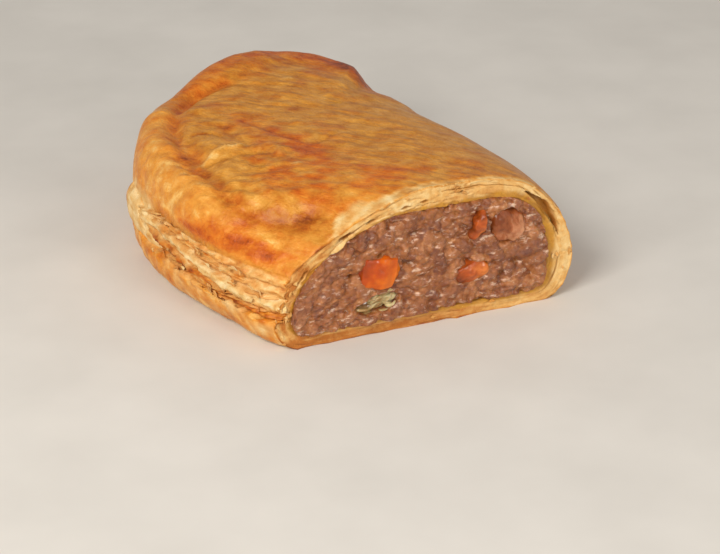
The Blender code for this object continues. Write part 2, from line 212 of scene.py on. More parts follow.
# %% [markdown]
# ## Rails round the edge
# A baker's eye follows the edge. Each rail starts on the edge and runs inwards to the ridge, the
# highest line of the lid. Along the straight parts the rails are parallel, and round the back they
# fan out from one point, the pole.

# %% rails
STRAIGHT_RAILS, ROUND_RAILS = 100, 222
RIDGE_AT_CUT, RIDGE_AT_POLE, POLE_FROM_CUT = 53.0, 44.0, 70.0

edge = whole_edge[whole_edge[:, 1] > -0.2]
first = int(np.argmin(edge[:, 1] + 1000.0 * (edge[:, 0] > CENTRE[0])))
edge = np.roll(edge, -first, axis=0)
edge_length = np.concatenate([[0.0], np.cumsum(np.hypot(*np.diff(edge, axis=0).T))])
turn = int(np.argmax(edge[:, 1]))


def length_at(y, left):
    """How far along the edge it passes y, on the seam's side or on the fold's."""
    part = slice(0, turn) if left else slice(len(edge) - 1, turn, -1)
    return float(np.interp(y, edge[part, 1], edge_length[part]))


left_cut, left_pole = length_at(0.0, True), length_at(POLE_FROM_CUT, True)
right_cut, right_pole = length_at(0.0, False), length_at(POLE_FROM_CUT, False)
place = np.concatenate(
    [
        np.linspace(left_cut, left_pole, STRAIGHT_RAILS + 1),
        np.linspace(left_pole, right_pole, ROUND_RAILS + 1)[1:-1],
        np.linspace(right_pole, right_cut, STRAIGHT_RAILS + 1),
    ]
)
ramp_up = np.linspace(0.0, 1.0, STRAIGHT_RAILS + 1)
share = np.concatenate([ramp_up, np.ones(ROUND_RAILS - 1), ramp_up[::-1]])
edge_x = np.interp(place, edge_length, edge[:, 0])
edge_y = np.interp(place, edge_length, edge[:, 1])
edge_y[[0, -1]] = 0.0
ridge_x = mix(RIDGE_AT_CUT, RIDGE_AT_POLE, share)
ridge_y = POLE_FROM_CUT * share
reach = np.hypot(ridge_x - edge_x, ridge_y - edge_y)
in_x, in_y = (ridge_x - edge_x) / reach, (ridge_y - edge_y) / reach
along = place - left_cut
corner_place = mix(left_cut, right_pole, 0.80)
seam = soft_drop(corner_place, right_pole, place)
near_cut = soft_drop(4.0, 38.0, edge_y) * (place < edge_length[turn])
opened = soft_drop(48.0, 84.0, along)
print(len(place), "rails over", round(right_cut - left_cut), "mm of edge")

# %% [markdown]
# ## The profile of the crust
# Going round one rail from below: the flat base, the rounded lower edge, the lip of the seam, the
# leaves with cracks between them, the lid's overhanging edge, its rounded shoulder, the pressed
# groove and the gentle dome. On the fold's side the seam's steps melt into one smooth round wall.
#
# The profile is written as columns of a table: each column holds one station of all rails, as
# its inset from the edge and its height. A grid of faces is then stretched over the table.

# %% heights and insets that change along the edge
LIP_HEIGHT, WAIST_OF_FOLD = 8.4, 13.0
ridge_height = mix(40.6, 36.6, share)
lip = mix(WAIST_OF_FOLD, LIP_HEIGHT, seam)
lid_edge_in = mix(0.1, 0.9 + 1.7 * opened + 1.6 * near_cut, seam)
lid_edge_up = mix(WAIST_OF_FOLD + 0.8, mix(16.0, 21.5, opened), seam)
shoulder_run = mix(mix(31.0, 37.5, share), 9.5 + 20.0 * near_cut, seam)
shoulder_power = mix(2.0, 2.55 - 1.35 * near_cut, seam)
shoulder_up = mix(ridge_height - 0.05, mix(35.2, 38.4, near_cut), seam)
at_back = soft_step(112.0, 142.0, along)
GROOVE_DEPTH = 2.1
groove_depth = GROOVE_DEPTH * seam * soft_step(40.0, 58.0, along) * (1.0 - 0.62 * at_back)
groove_depth *= (1.0 + 0.3 * on_line(place, 30.0, 3)) * soft_drop(190.0, 204.0, along)
groove_at = lid_edge_in + 12.4 + 6.5 * at_back + 0.8 * on_line(place, 24.0, 4)
groove_half = 2.4 + 1.6 * at_back
# how much higher the oven left the rim, against length along the edge from the cut
LIFT_AT = (
    86.0, 94.0, 101.0, 110.0, 117.0, 123.0, 131.0, 138.0, 148.0, 156.0,
    165.0, 174.0, 186.0, 195.0, 201.0, 205.0, 211.0, 218.0, 224.0,
)
RIM_LIFT = (
    0.0, 0.7, -0.4, -1.0, -1.3, -0.6, 0.6, 1.9, 2.6, 2.2,
    0.6, -0.4, -0.8, -0.5, -2.0, -3.4, -2.6, -0.8, 0.0,
)
# how far the lip's lower edge draws in, against the same length
LIP_AT = (0.0, 7.0, 13.0, 20.0, 28.0, 38.0, 50.0, 62.0)
LIP_DRAWN_IN = (0.0, 0.0, 1.6, 3.2, 3.0, 1.8, 0.6, 0.0)

# leaves of the seam: inset, share of the way up from the lip to the lid's edge, and raggedness
SEAM_KEYS = (
    (0.0, 0.00, 0.10), (0.2, 0.07, 0.40), (1.2, 0.12, 0.70), (3.0, 0.16, 0.50), (3.4, 0.20, 0.30),
    (2.1, 0.24, 0.70), (1.6, 0.30, 1.00), (1.9, 0.36, 1.00), (2.6, 0.41, 0.70), (3.0, 0.44, 0.40),
    (2.0, 0.48, 0.30), (1.3, 0.53, 0.35), (1.2, 0.59, 0.35), (1.6, 0.65, 0.35), (3.0, 0.69, 0.30),
    (3.6, 0.72, 0.30), (2.6, 0.75, 0.80), (2.4, 0.79, 1.00), (3.4, 0.82, 0.50), (3.9, 0.85, 0.30),
    (2.9, 0.88, 0.90), (2.8, 0.92, 1.00), (3.6, 0.955, 0.50),
)

# how many stations each stretch of the profile has, from the middle of the base to the ridge
BASE_STATIONS, LOWER_EDGE_STATIONS, SIDE_STATIONS = 12, 10, 53
SHOULDER_STATIONS, DOME_STATIONS = 36, 52
SIDE_START = BASE_STATIONS + LOWER_EDGE_STATIONS
LID_START = SIDE_START + SIDE_STATIONS
columns = []


def add_column(inset, height):
    """Adds one station of all rails to the table."""
    columns.append((inset + 0.0 * place, height + 0.0 * place))


# %% base and lower edge
corner_run = mix(8.5, 7.0, seam)
for step in np.linspace(1.0, 0.0, BASE_STATIONS):
    add_column(mix(corner_run, reach, step), 0.0)
for angle in np.radians(np.linspace(9.0, 90.0, LOWER_EDGE_STATIONS)):
    add_column(corner_run * (1.0 - math.sin(angle)), lip * (1.0 - math.cos(angle)))
print(len(columns), "stations up to the lip")

# %% lip, leaves and cracks of the seam
slant = 0.24 * np.clip((along - 36.0) / 26.0, -1.0, 1.0) * soft_drop(80.0, 110.0, along)
flared = soft_window(54.0, 62.0, 84.0, 94.0, along)
key_in, key_up = [], []
for number, (inset, rise, rough) in enumerate(SEAM_KEYS):
    leaf = number // 3
    ragged = 1.2 * on_line(place, 9.0, 10 + leaf) + 0.7 * on_line(place, 3.1, 20 + leaf)
    ragged += 0.35 * on_line(place, 1.4, 30 + leaf)
    drift = (slant + 0.06 * on_line(place, 15.0, 40 + leaf // 2)) * math.sin(math.pi * rise)
    shape = np.maximum(inset + rough * ragged, 0.0)
    shape = mix(shape, 0.15 + 0.25 * rough * ragged, flared * soft_step(0.25, 0.5, rise))
    key_in.append(mix(0.1, shape, seam))
    key_up.append(lip + (lid_edge_up - lip) * (rise + drift))
key_in.append(lid_edge_in + 0.3 * on_line(place, 4.0, 50))
key_up.append(lid_edge_up)
for spot in np.linspace(0.0, len(key_in) - 1, SIDE_STATIONS + 1)[1:]:
    low = min(int(spot), len(key_in) - 2)
    inset = mix(key_in[low], key_in[low + 1], spot - low)
    add_column(inset, mix(key_up[low], key_up[low + 1], spot - low))
print(len(columns), "stations up to the lid's edge")

# %% shoulder, groove and dome of the lid
for angle in np.radians(np.linspace(0.0, 90.0, SHOULDER_STATIONS + 1)[1:]):
    power = 2.0 / shoulder_power
    inset = lid_edge_in + shoulder_run * (1.0 - math.cos(angle) ** power)
    add_column(inset, lid_edge_up + (shoulder_up - lid_edge_up) * math.sin(angle) ** power)
shoulder_end = lid_edge_in + shoulder_run
for step in np.linspace(0.0, 1.0, DOME_STATIONS + 1)[1:]:
    inset = mix(shoulder_end, reach, step)
    add_column(inset, mix(shoulder_up, ridge_height, 1.0 - (1.0 - step) ** 2))
inset_table, height_table = np.array(columns).transpose(1, 2, 0)
# the lip is drawn in at its lower edge, and less and less up to its top
lip_stations = SIDE_START + 5
drawn_in = np.interp(along, LIP_AT, LIP_DRAWN_IN)[:, None]
inset_table[:, :lip_stations] += drawn_in * np.linspace(1.0, 0.0, lip_stations) ** 0.4
inset_table = np.minimum(inset_table, reach[:, None])
# near the cut and on the fold's side the shoulder runs into the dome without a break
smooth_from = LID_START + 5
softer = height_table.copy()
for _ in range(14):
    before, after = softer[:, smooth_from - 1 : -2], softer[:, smooth_from + 1 :]
    softer[:, smooth_from:-1] = 0.25 * before + 0.5 * softer[:, smooth_from:-1] + 0.25 * after
height_table = mix(height_table, softer, np.maximum(near_cut, 1.0 - seam)[:, None])
print("table of", inset_table.shape[0], "rails and", inset_table.shape[1], "stations")

# %% [markdown]
# ## Relief
# Glazed pastry is smooth from afar and restless close up: soft blisters, wrinkles where the sheet
# slid, and fine fibres that all run one way, the way the sheet was rolled. Below the lid's edge the
# relief is the torn leaves: fine ledges that follow the seam. All of it is moved along the
# surface's own normal, so it looks the same on the flat top and on the steep side.

# %% positions and normals of the stretched grid
spot_x = edge_x[:, None] + in_x[:, None] * inset_table
spot_y = edge_y[:, None] + in_y[:, None] * inset_table
skin = as_points(spot_x, spot_y, height_table)


def grid_normals(points):
    """Outward normals of a grid whose rows are rails and whose columns are stations."""
    normal = np.cross(np.gradient(points, axis=1), np.gradient(points, axis=0))
    size = np.linalg.norm(normal, axis=-1, keepdims=True)
    return np.where(size > 1e-7, normal / np.maximum(size, 1e-9), (0.0, 0.0, 1.0))


normals = grid_normals(skin)
back_rail = len(skin) // 2
print("a normal on the back of the lid:", normals[back_rail, LID_START + 25].round(2))

# %% masks for the parts of the skin
station = np.arange(skin.shape[1])
above_base = station >= BASE_STATIONS
is_lid = soft_step(LID_START - 1, LID_START + 3, station) * np.ones((len(place), 1))
is_seam = soft_window(SIDE_START - 2, SIDE_START + 2, LID_START - 2, LID_START + 1, station)
is_lip = soft_window(BASE_STATIONS, BASE_STATIONS + 3, SIDE_START + 4, SIDE_START + 8, station)
is_seam = is_seam * seam[:, None]
is_lip = is_lip * seam[:, None]
x, y, z = skin[..., 0], skin[..., 1], skin[..., 2]

# the way the sheet was rolled
ROLLED = (0.668, -0.744)
with_roll = x * ROLLED[0] + y * ROLLED[1]
cross_roll = -x * ROLLED[1] + y * ROLLED[0]
rolled = as_points(with_roll, cross_roll, z)
print(f"{is_seam.mean():.0%} of the skin is torn side")

# %% creases and ridges of the lid
# where the sheet's edge was folded over, and where one leaf slid on the next, both seen from above
FOLDED_OVER = (
    (-2.0, 56.0), (-2.4, 51.1), (-1.4, 44.5), (-0.3, 40.9), (1.1, 35.2),
    (0.6, 28.0), (1.3, 22.9), (3.1, 19.5), (9.3, 13.5), (17.0, 9.0),
)
SLIP = (
    (20.1, 67.9), (25.5, 55.8), (29.3, 47.3), (29.6, 38.0),
    (29.4, 33.1), (32.2, 26.1), (38.5, 19.2), (41.4, 12.3),
)
# each has its path seen from above, its width and its height, which is below 0 for a crease
CREASES = (
    (FOLDED_OVER, 3.0, -2.0),
    (((4.4, 66.6), (6.6, 65.7), (10.2, 65.0), (11.2, 62.1)), 0.9, -0.8),
    (((3.5, 71.0), (0.8, 64.0), (-0.2, 59.1), (0.0, 54.7)), 1.1, 0.7),
    (((-0.5, 47.4), (3.4, 49.9), (6.5, 51.9), (8.2, 52.7), (11.4, 51.4), (14.0, 52.0)), 1.0, 0.9),
    (((2.0, 47.6), (4.6, 47.2), (6.6, 46.0), (9.7, 47.6), (12.6, 47.0), (15.6, 45.6)), 1.0, -0.9),
    (((13.9, 68.5), (14.2, 57.8), (16.5, 53.5)), 2.2, -0.7),
    (((11.5, 73.0), (19.2, 67.9), (22.0, 58.0)), 1.6, 0.5),
    (((20.1, 67.9), (25.5, 55.8), (29.3, 47.3), (31.6, 43.8), (35.2, 44.5), (39.0, 47.0)), 0.9, -0.6),
    (((16.5, 45.6), (18.0, 48.5), (20.7, 49.3), (21.8, 45.0), (20.9, 40.7)), 0.9, 0.5),
    (((22.0, 43.0), (23.3, 44.0), (25.2, 42.0), (24.6, 38.5)), 0.8, 0.45),
    (((18.6, 45.6), (19.6, 43.0), (18.6, 40.6)), 0.8, -0.5),
    (((8.0, 96.0), (16.0, 99.5), (26.0, 101.0)), 0.9, -0.35),
    (((30.0, 96.0), (38.0, 91.5), (49.0, 82.0)), 0.9, -0.35),
    (((20.0, 88.0), (27.0, 84.0), (36.0, 76.0)), 1.0, 0.35),
    (((40.0, 62.0), (47.0, 54.0), (56.0, 44.0)), 0.9, -0.30),
    (((52.0, 70.0), (58.0, 62.0), (63.0, 53.0)), 1.0, 0.30),
    (((50.0, 34.0), (57.0, 25.0), (62.0, 19.0)), 0.9, 0.30),
    (((-6.0, 60.0), (-3.0, 52.0), (-4.0, 44.0)), 1.4, -0.5),
    (((-9.5, 46.0), (-6.0, 36.0), (-2.0, 30.0)), 1.3, -0.45),
)
BLISTERS = (
    (43.7, 93.9), (50.0, 77.8), (43.4, 108.4), (23.0, 32.5), (33.0, 60.0), (61.0, 40.0), (12.0, 82.0),
)
print(len(CREASES), "creases and ridges,", len(BLISTERS), "blisters")

# %% relief of the lid
front_left = blob(x, y, 6.0, 36.0, 24.0, 34.0, 20.0)
calm = 1.0 - 0.8 * soft_step(72.0, 90.0, along)[:, None] * soft_drop(11.0, 19.0, inset_table)
lid_relief = 0.50 * grain(skin, (9.0, 22.0, 30.0), 1)
lid_relief += 0.55 * front_left * (1.0 - np.abs(grain(rolled, (8.0, 4.4, 8.0), 2)) * 2.4)
lid_relief += 0.30 * front_left * grain(skin, 3.4, 11)
lid_relief += 0.26 * calm * grain(rolled, (14.0, 3.0, 9.0), 3)
lid_relief += 0.15 * calm * grain(rolled, (8.0, 1.8, 6.0), 4)
lid_relief -= 0.12 * calm * winding_lines(rolled, (9.0, 3.4, 8.0), 5, 3.2)
# these two only feed the paint below: creases get painted shade, ridges get painted highlights
crease_shade, ridge_highlight = np.zeros(x.shape), np.zeros(x.shape)
for path, width, height in CREASES:
    line = near_path(x, y, path, width) * (0.75 + 0.5 * grain(rolled, 4.0, 6))
    lid_relief += height * line
    if height < 0.0:
        crease_shade = np.maximum(crease_shade, -height * near_path(x, y, path, 0.8 * width))
    else:
        ridge_highlight = np.maximum(ridge_highlight, height * near_path(x, y, path, 0.5 * width))
for cx, cy in BLISTERS:
    lid_relief += 0.45 * blob(x, y, cx, cy, 1.3, 1.0)
groove_line = np.exp(-(((inset_table - groove_at[:, None]) / groove_half[:, None]) ** 2))
lid_relief -= groove_depth[:, None] * groove_line
on_rim = soft_window(0.5, 5.0, 13.0, 30.0, inset_table)
lid_relief += np.interp(along, LIFT_AT, RIM_LIFT)[:, None] * on_rim
# where the knife tore the lid's top leaf away, the next one shows a step lower
TORN_X = (12.0, 17.0, 20.0, 22.5, 26.9, 29.5, 32.2, 36.0, 42.0, 48.0, 60.0, 78.0, 92.0)
TORN_Y = (0.0, 0.1, 0.8, 4.4, 5.8, 5.2, 4.2, 3.6, 3.6, 2.4, 1.4, 2.4, 3.4)
torn_to = np.interp(x, TORN_X, TORN_Y)
torn_edge = 1.5 * grain(skin, (3.2, 9.0, 9.0), 52) + 0.9 * grain(skin, 1.4, 53)
torn_to = torn_to + torn_edge * np.clip(torn_to / 3.0, 0.0, 1.0)
torn_away = is_lid * soft_drop(-0.8, 0.6, y - torn_to) * (torn_to > 0.3)
lid_relief -= torn_away * (0.35 + 0.30 * grain(skin, 1.7, 54))
# relief of the torn side and of the lip
layers = as_points(place[:, None], 0.0, z)
seam_relief = 0.55 * grain(layers, (5.0, 1.0, 0.7), 7) + 0.75 * grain(layers, (1.9, 1.0, 1.1), 8)
lip_relief = 0.35 * grain(layers, (2.6, 1.0, 7.0), 9) + 0.20 * grain(layers, (1.3, 1.0, 2.0), 10)
relief = is_lid * lid_relief + is_seam * seam_relief + is_lip * lip_relief
relief[:, 0] = 0.0
normals[:, 0], normals[:, -1] = (0.0, 0.0, -1.0), (0.0, 0.0, 1.0)
skin = skin + normals * relief[..., None]
# rails that end in the same point of the ridge or of the base share one place there
for column in (0, -1):
    ends = skin[:, column].copy()
    meeting = 0.5 * (ends[:STRAIGHT_RAILS] + ends[-STRAIGHT_RAILS:][::-1])
    ends[:STRAIGHT_RAILS] = meeting
    ends[-STRAIGHT_RAILS:] = meeting[::-1]
    ends[STRAIGHT_RAILS:-STRAIGHT_RAILS] = ends[STRAIGHT_RAILS:-STRAIGHT_RAILS].mean(axis=0)
    skin[:, column] = ends
BOX_MARGIN = 0.02
box_low = np.array(cad_box[0]) / MM - np.array(SHIFT) + BOX_MARGIN
box_high = np.array(cad_box[1]) / MM - np.array(SHIFT) - BOX_MARGIN
box_low[2] = 0.0
skin = np.clip(skin, box_low, box_high)
print("relief from", span(relief))

# %% [markdown]
# ## The band of pastry in the cut
# A knife through puff pastry shows its leaves as lines that follow the wall. The band between the
# crust's outer edge and the filling is a second grid: one row for each depth into the wall. Every
# leaf ends a little in front of or behind its neighbours, and where leaves have parted the grid is
# pushed back into a dark pocket.

# %% outer and inner edge of the band
BASE_THICKNESS, LID_THICKNESS = 3.8, 6.7
FLOOR_ROUNDING = 5.0
SECTION_MIDDLE = np.array([48.0, 18.0])


def inner_edge(rail, wall, waist, run, power, gap):
    """Edge of the hollow at the cut, from its lowest to its highest point, as x and z."""
    floor, top = BASE_THICKNESS + gap, ridge_height[rail] - LID_THICKNESS - gap
    wall = wall + gap
    spots = [(reach[rail], floor), (wall + 0.5 * (reach[rail] - wall), floor)]
    for angle in np.radians(np.linspace(0.0, 90.0, 13)):
        inset = wall + FLOOR_ROUNDING * (1.0 - math.sin(angle))
        spots.append((inset, floor + (waist - floor) * (1.0 - math.cos(angle))))
    for angle in np.radians(np.linspace(0.0, 90.0, 31)[1:]):
        inset = wall + run * (1.0 - math.cos(angle) ** (2.0 / power))
        spots.append((inset, waist + (top - waist) * math.sin(angle) ** (2.0 / power)))
    spots.append((reach[rail], top))
    inset, up = np.array(spots).T
    return np.stack([edge_x[rail] + in_x[rail] * inset, up], axis=1)


def hollow_loop(gap=0.0):
    """Closed edge of the hollow in the cut, clockwise from the middle of its floor."""
    left = inner_edge(0, wall=4.4, waist=8.5, run=34.0, power=1.75, gap=gap)
    right = inner_edge(-1, wall=7.9, waist=13.0, run=19.0, power=2.4, gap=gap)
    loop = np.concatenate([left, right[::-1]])
    step = np.linspace(0.0, 1.0, 9)[:-1, None]
    return np.concatenate([a + (b - a) * step for a, b in zip(loop, np.roll(loop, -1, axis=0))])


def polar_edge(loop):
    """Angle and distance of a loop round the section's middle, sorted by angle."""
    off = loop - SECTION_MIDDLE
    angle = np.degrees(np.arctan2(off[:, 1], off[:, 0])) % 360.0
    order = np.argsort(angle)
    return angle[order], np.hypot(off[:, 0], off[:, 1])[order]


hollow_angle, hollow_reach = polar_edge(hollow_loop())
outer_loop = np.concatenate([skin[0], skin[-1][::-1][1:-1]])
loop_size = len(outer_loop)
off = outer_loop[:, [0, 2]] - SECTION_MIDDLE
loop_angle = np.unwrap(np.arctan2(off[:, 1], off[:, 0]))
loop_angle = np.minimum.accumulate(loop_angle) - 1e-4 * np.arange(loop_size)
soft = np.convolve(np.pad(loop_angle, 3, mode="edge"), np.ones(7) / 7.0, mode="valid")
loop_angle = np.degrees(np.where(np.arange(loop_size) % (loop_size - 1) == 0, loop_angle, soft))
inner_reach = np.interp(loop_angle % 360.0, hollow_angle, hollow_reach, period=360.0)
inner_reach += 0.35 * on_line(loop_angle, 5.0, 58) + 0.25 * on_line(loop_angle, 2.0, 59)
loop_turn = np.radians(loop_angle)
inner_x = SECTION_MIDDLE[0] + inner_reach * np.cos(loop_turn)
inner_z = SECTION_MIDDLE[1] + inner_reach * np.sin(loop_turn)
inner_loop = as_points(inner_x, 0.0, inner_z)
loop_run = np.concatenate([[0.0], np.cumsum(np.linalg.norm(np.diff(inner_loop, axis=0), axis=1))])
thick = np.linalg.norm(outer_loop - inner_loop, axis=1)
print("band from", span(thick), "wide")

# %% relief of the band
LEAF_PITCH = 1.15
# pockets: first and last angle, share of the wall from the inside, width and depth in mm
POCKETS = (
    (0.0, 30.0, 0.56, 2.3, 4.0), (31.0, 88.0, 0.70, 0.40, 1.2), (-26.0, -8.0, 0.45, 0.7, 2.5),
    (92.0, 101.0, 0.40, 0.8, 1.6), (108.0, 117.0, 0.34, 1.1, 2.2), (135.0, 141.0, 0.40, 0.9, 1.8),
    (149.0, 157.0, 0.46, 2.2, 4.0), (172.0, 179.0, 0.40, 1.3, 2.4),
)
BAND_ROWS = 32
depth_share = np.linspace(0.0, 1.0, BAND_ROWS)[:, None]
band = outer_loop[None] * (1.0 - depth_share[..., None]) + inner_loop[None] * depth_share[..., None]
into_wall = depth_share * thick[None, :]
wall_spot = as_points(loop_run, into_wall, 0.0)
phase = into_wall / LEAF_PITCH + 1.3 * grain(wall_spot, (16.0, 4.0, 1.0), 60)
leaf_number = np.floor(phase)
leaf_spot = as_points(loop_run, leaf_number * 7.7, 0.0)
leaf_front = 0.50 * grain(leaf_spot, (5.0, 1.0, 1.0), 61) + 0.22 * grain(leaf_spot, (1.6, 1.0, 1.0), 62)
between_leaves = soft_window(0.66, 0.84, 0.92, 1.0, phase - leaf_number)
crack_depth = np.clip(1.8 * grain(leaf_spot, (7.0, 1.0, 1.0), 63) - 0.1, 0.0, 0.8)
band_back = leaf_front + crack_depth * between_leaves + 0.22 * grain(wall_spot, 1.2, 65)
pocket_mask = np.zeros(band.shape[:2])
for start, end, share_in, width, depth in POCKETS:
    angle = (loop_angle - start + 90.0) % 360.0 - 90.0
    part_way = np.clip(angle / (end - start), 0.0, 1.0)
    half = 0.5 * width * np.sin(math.pi * part_way) * (1.0 + 0.5 * on_line(loop_run, 2.2, 64))
    from_middle = (1.0 - depth_share - share_in) * thick[None, :]
    inside = soft_step(0.0, 0.35, 1.0 - np.abs(from_middle) / np.maximum(half, 1e-3)[None, :])
    inside = inside * (half > 0.05)[None, :]
    pocket_mask = np.maximum(pocket_mask, inside)
    band_back = np.maximum(band_back, depth * inside)
band_back[0] = 0.8 * on_line(loop_run, 2.4, 66) + 0.5 * on_line(loop_run, 1.1, 67)
band_back[1] = 0.6 * band_back[0] + 0.4 * band_back[1]
band[..., 1] = band_back
# the skin's two end rails follow the band's outer edge, so the crust closes
skin_stations = skin.shape[1]
skin[0, :, 1] = band_back[0, :skin_stations]
skin[-1, :, 1] = np.append(band_back[0, skin_stations - 1 :], band_back[0, 0])[::-1]
RECESS_DEPTHS = (1.6, 3.5, 6.0, 9.0)
recess = np.repeat(inner_loop[None], len(RECESS_DEPTHS), axis=0)
recess[..., 1] = np.array(RECESS_DEPTHS)[:, None]
print(f"pockets cover {pocket_mask.mean():.1%} of the band")

# %% [markdown]
# ## Where the oven browned it
# Four numbers are stored on every vertex: how far it is baked, how ruddy the brown is, how raw and
# floury it looks, and how much juice from the filling went into it. The material turns them into colour,
# so the paint follows the form: dark on the thin rim at the back, pale where leaves lay shielded.
# Some of the paint is light and shade: the groove, creases, cracks, pockets and the cut's base strip
# get painted shade, and the ridges and one blister get painted highlights.

# %% paint of the skin
patchy = grain(rolled, (7.0, 4.0, 7.0), 70)
bake = 0.48 + 0.08 * patchy + 0.08 * grain(rolled, (16.0, 2.2, 9.0), 71) * is_lid
blotch, fine_blotch = grain(skin, 6.0, 86), grain(rolled, (4.2, 2.0, 3.2), 87)
bake += is_lid * (0.15 * blotch + 0.12 * fine_blotch + 0.26 * front_left * grain(skin, 2.6, 88))
groove_line = groove_line * groove_depth[:, None] / GROOVE_DEPTH
# painted shade in the groove and the creases, and paler paint on the ridges as painted highlights
bake += is_lid * (0.12 * groove_line + 0.17 * crease_shade - 0.17 * ridge_highlight)
roll = is_lid * soft_drop(11.0, 15.0, inset_table) * seam[:, None]
bake -= 0.20 * roll * blob(x, y, -8.0, 70.0, 14.0, 34.0)
bake += 0.42 * blob(x, y, 67.0, 100.0, 14.0, 12.0) * is_lid * soft_drop(13.0, 20.0, inset_table)
left_side = soft_drop(3.0, 22.0, x + 0.35 * (y - 20.0) * (y < 20.0))
bake -= 0.18 * is_lid * left_side * soft_drop(48.0, 66.0, y)
orange = blob(x, y, 24.0, 33.0, 13.0, 26.0, -18.0) + 0.7 * blob(x, y, 38.0, 11.0, 13.0, 8.0)
orange = is_lid * orange * np.clip(0.55 + 1.5 * grain(rolled, (6.0, 3.6, 6.0), 72), 0.0, 1.3)
bake += 0.12 * orange
edge_glow = np.exp(-(((z - lid_edge_up[:, None] - 3.6) / 2.6) ** 2)) * is_lid * (inset_table < 9.0)
edge_glow = edge_glow * seam[:, None] * soft_window(0.0, 9.0, 32.0, 42.0, y)
flap_glow = np.exp(-(((z - 21.6) / 1.6) ** 2)) * blob(x, y, -10.5, 46.0, 5.0, 6.0) * is_lid
bake += 0.40 * edge_glow * np.clip(0.9 + 0.9 * grain(layers, (11.0, 1.0, 2.6), 79), 0.0, 1.3)
bake += 0.6 * flap_glow
# a reddish band along the slip, and painted shade along the folded-over valley
bake += is_lid * (0.10 * near_path(x, y, SLIP, 2.6) + 0.08 * near_path(x, y, FOLDED_OVER, 2.0))
# browner and paler spots of the lid: how much, and the middle and half sizes of each oval
for amount, middle_x, middle_y, half_x, half_y in (
    (0.14, 36.0, 112.0, 22.0, 12.0), (0.16, 14.0, 42.0, 9.0, 5.0),
    (-0.10, 34.0, 18.0, 6.0, 5.0), (-0.15, 31.0, 8.0, 7.0, 6.0),
):
    bake += amount * blob(x, y, middle_x, middle_y, half_x, half_y) * is_lid
bake += 0.20 * blob(x, y, 36.9, 71.7, 4.0, 1.6, -45.0) - 0.18 * blob(x, y, 35.9, 53.6, 4.0, 1.6, -45.0)
fold_side = 1.0 - seam[:, None]
bake -= 0.20 * fold_side * soft_drop(10.0, 26.0, z)
ruddy = 0.22 + 0.3 * patchy + 0.9 * orange + edge_glow + flap_glow
# the groove's painted shade is also painted redder
ruddy += is_lid * (0.3 * blotch + 0.55 * groove_line + 0.5 * near_path(x, y, SLIP, 3.0))
ruddy += 0.55 * roll + 0.4 * blob(x, y, 60.0, 104.0, 18.0, 15.0)
olive = is_lid * soft_step(28.0, 48.0, x + 0.2 * y) * soft_step(10.0, 30.0, y)
olive = olive * soft_step(13.0, 20.0, inset_table)
ruddy -= 0.30 * olive + 0.30 * is_lid * left_side * (1.0 - edge_glow)
bake -= 0.05 * olive

# how far up the torn side a spot is, from the lip to the lid's edge
rise = (z - lip[:, None]) / (lid_edge_up - lip)[:, None]
rise = rise - slant[:, None] * np.sin(math.pi * np.clip(rise, 0.0, 1.0))
thick_leaf = np.exp(-(((rise - 0.58) / 0.11) ** 2)) * (0.8 + 0.6 * grain(layers, (9.0, 1.0, 9.0), 84))
browned = np.exp(-(((rise - 0.24) / 0.14) ** 2))
tip = soft_drop(0.6, 3.0, inset_table)
torn = soft_window(SIDE_START + 2, SIDE_START + 6, LID_START - 3, LID_START, station) * seam[:, None]
torn_raw = 0.50 + 0.55 * thick_leaf - 0.35 * browned + 0.60 * grain(layers, (5.0, 1.0, 1.6), 74)
torn_bake = 0.30 + 0.15 * tip - 0.22 * thick_leaf + 0.32 * browned
torn_bake += 0.50 * grain(layers, (3.0, 1.0, 1.1), 75) + 0.35 * grain(layers, (1.3, 1.0, 0.9), 93)
raw = torn * torn_raw + 0.95 * torn_away * np.clip(0.75 + 0.8 * grain(skin, 2.4, 80), 0.0, 1.0)
# a pale fleck of pastry at (23, 32.5), and a painted highlight on the blister at (43.7, 93.9)
raw += 0.8 * blob(x, y, 23.0, 32.5, 1.2, 0.8) + 0.5 * blob(x, y, 43.7, 93.9, 2.0, 1.0)
strokes = winding_lines(rolled, (5.0, 1.7, 4.0), 92, 5.0)
# the ridges are painted paler as painted highlights; the strokes are pale streaks on the front left
raw += is_lid * (0.24 * ridge_highlight + 0.16 * strokes * np.clip(front_left + 0.25, 0.0, 1.0))

# the leaf that flares out stays pale, and the lip, the rim and the fold's foot have their own tones
pale_corner = flared[:, None] * soft_drop(21.0, 25.0, z + 2.0 * grain(skin, 3.0, 85))
pale_corner = pale_corner * (1.0 - 0.8 * soft_step(74.0, 86.0, along))[:, None]
pale_corner = pale_corner * (station > SIDE_START + 8)
thin_lines = winding_lines(layers, (9.0, 1.0, 1.3), 96, 5.0) * flared[:, None]
raw = mix(raw, 0.85 + 0.6 * grain(skin, (3.0, 3.0, 2.0), 89), pale_corner)
bake = mix(bake, torn_bake + 0.35 * thin_lines, torn)
pale_bake = 0.22 + 0.55 * grain(skin, (3.4, 3.4, 2.4), 90) + 0.25 * thin_lines
bake = mix(bake, pale_bake, pale_corner)
bake = mix(bake, 0.34 + 0.45 * grain(skin, (3.4, 2.0, 3.4), 81), torn_away)
bake = mix(bake, 0.28 + 0.45 * grain(layers, (3.0, 1.0, 2.6), 73), is_lip)
raw = mix(raw, 0.25 + 0.7 * grain(layers, (6.0, 1.0, 3.0), 94), is_lip)
ruddy = mix(ruddy, 0.65, is_lip)
ruddy = mix(ruddy, 0.55 - 0.35 * pale_corner, torn)
low_rim = seam[:, None] * soft_drop(0.5, 2.0, z + 0.8 * grain(layers, (5.0, 1.0, 5.0), 83)) * above_base
raw += 0.6 * low_rim
bake -= 0.2 * low_rim
fold_foot = fold_side * soft_drop(3.0, 9.0, y) * soft_drop(5.0, 14.0, z) * above_base
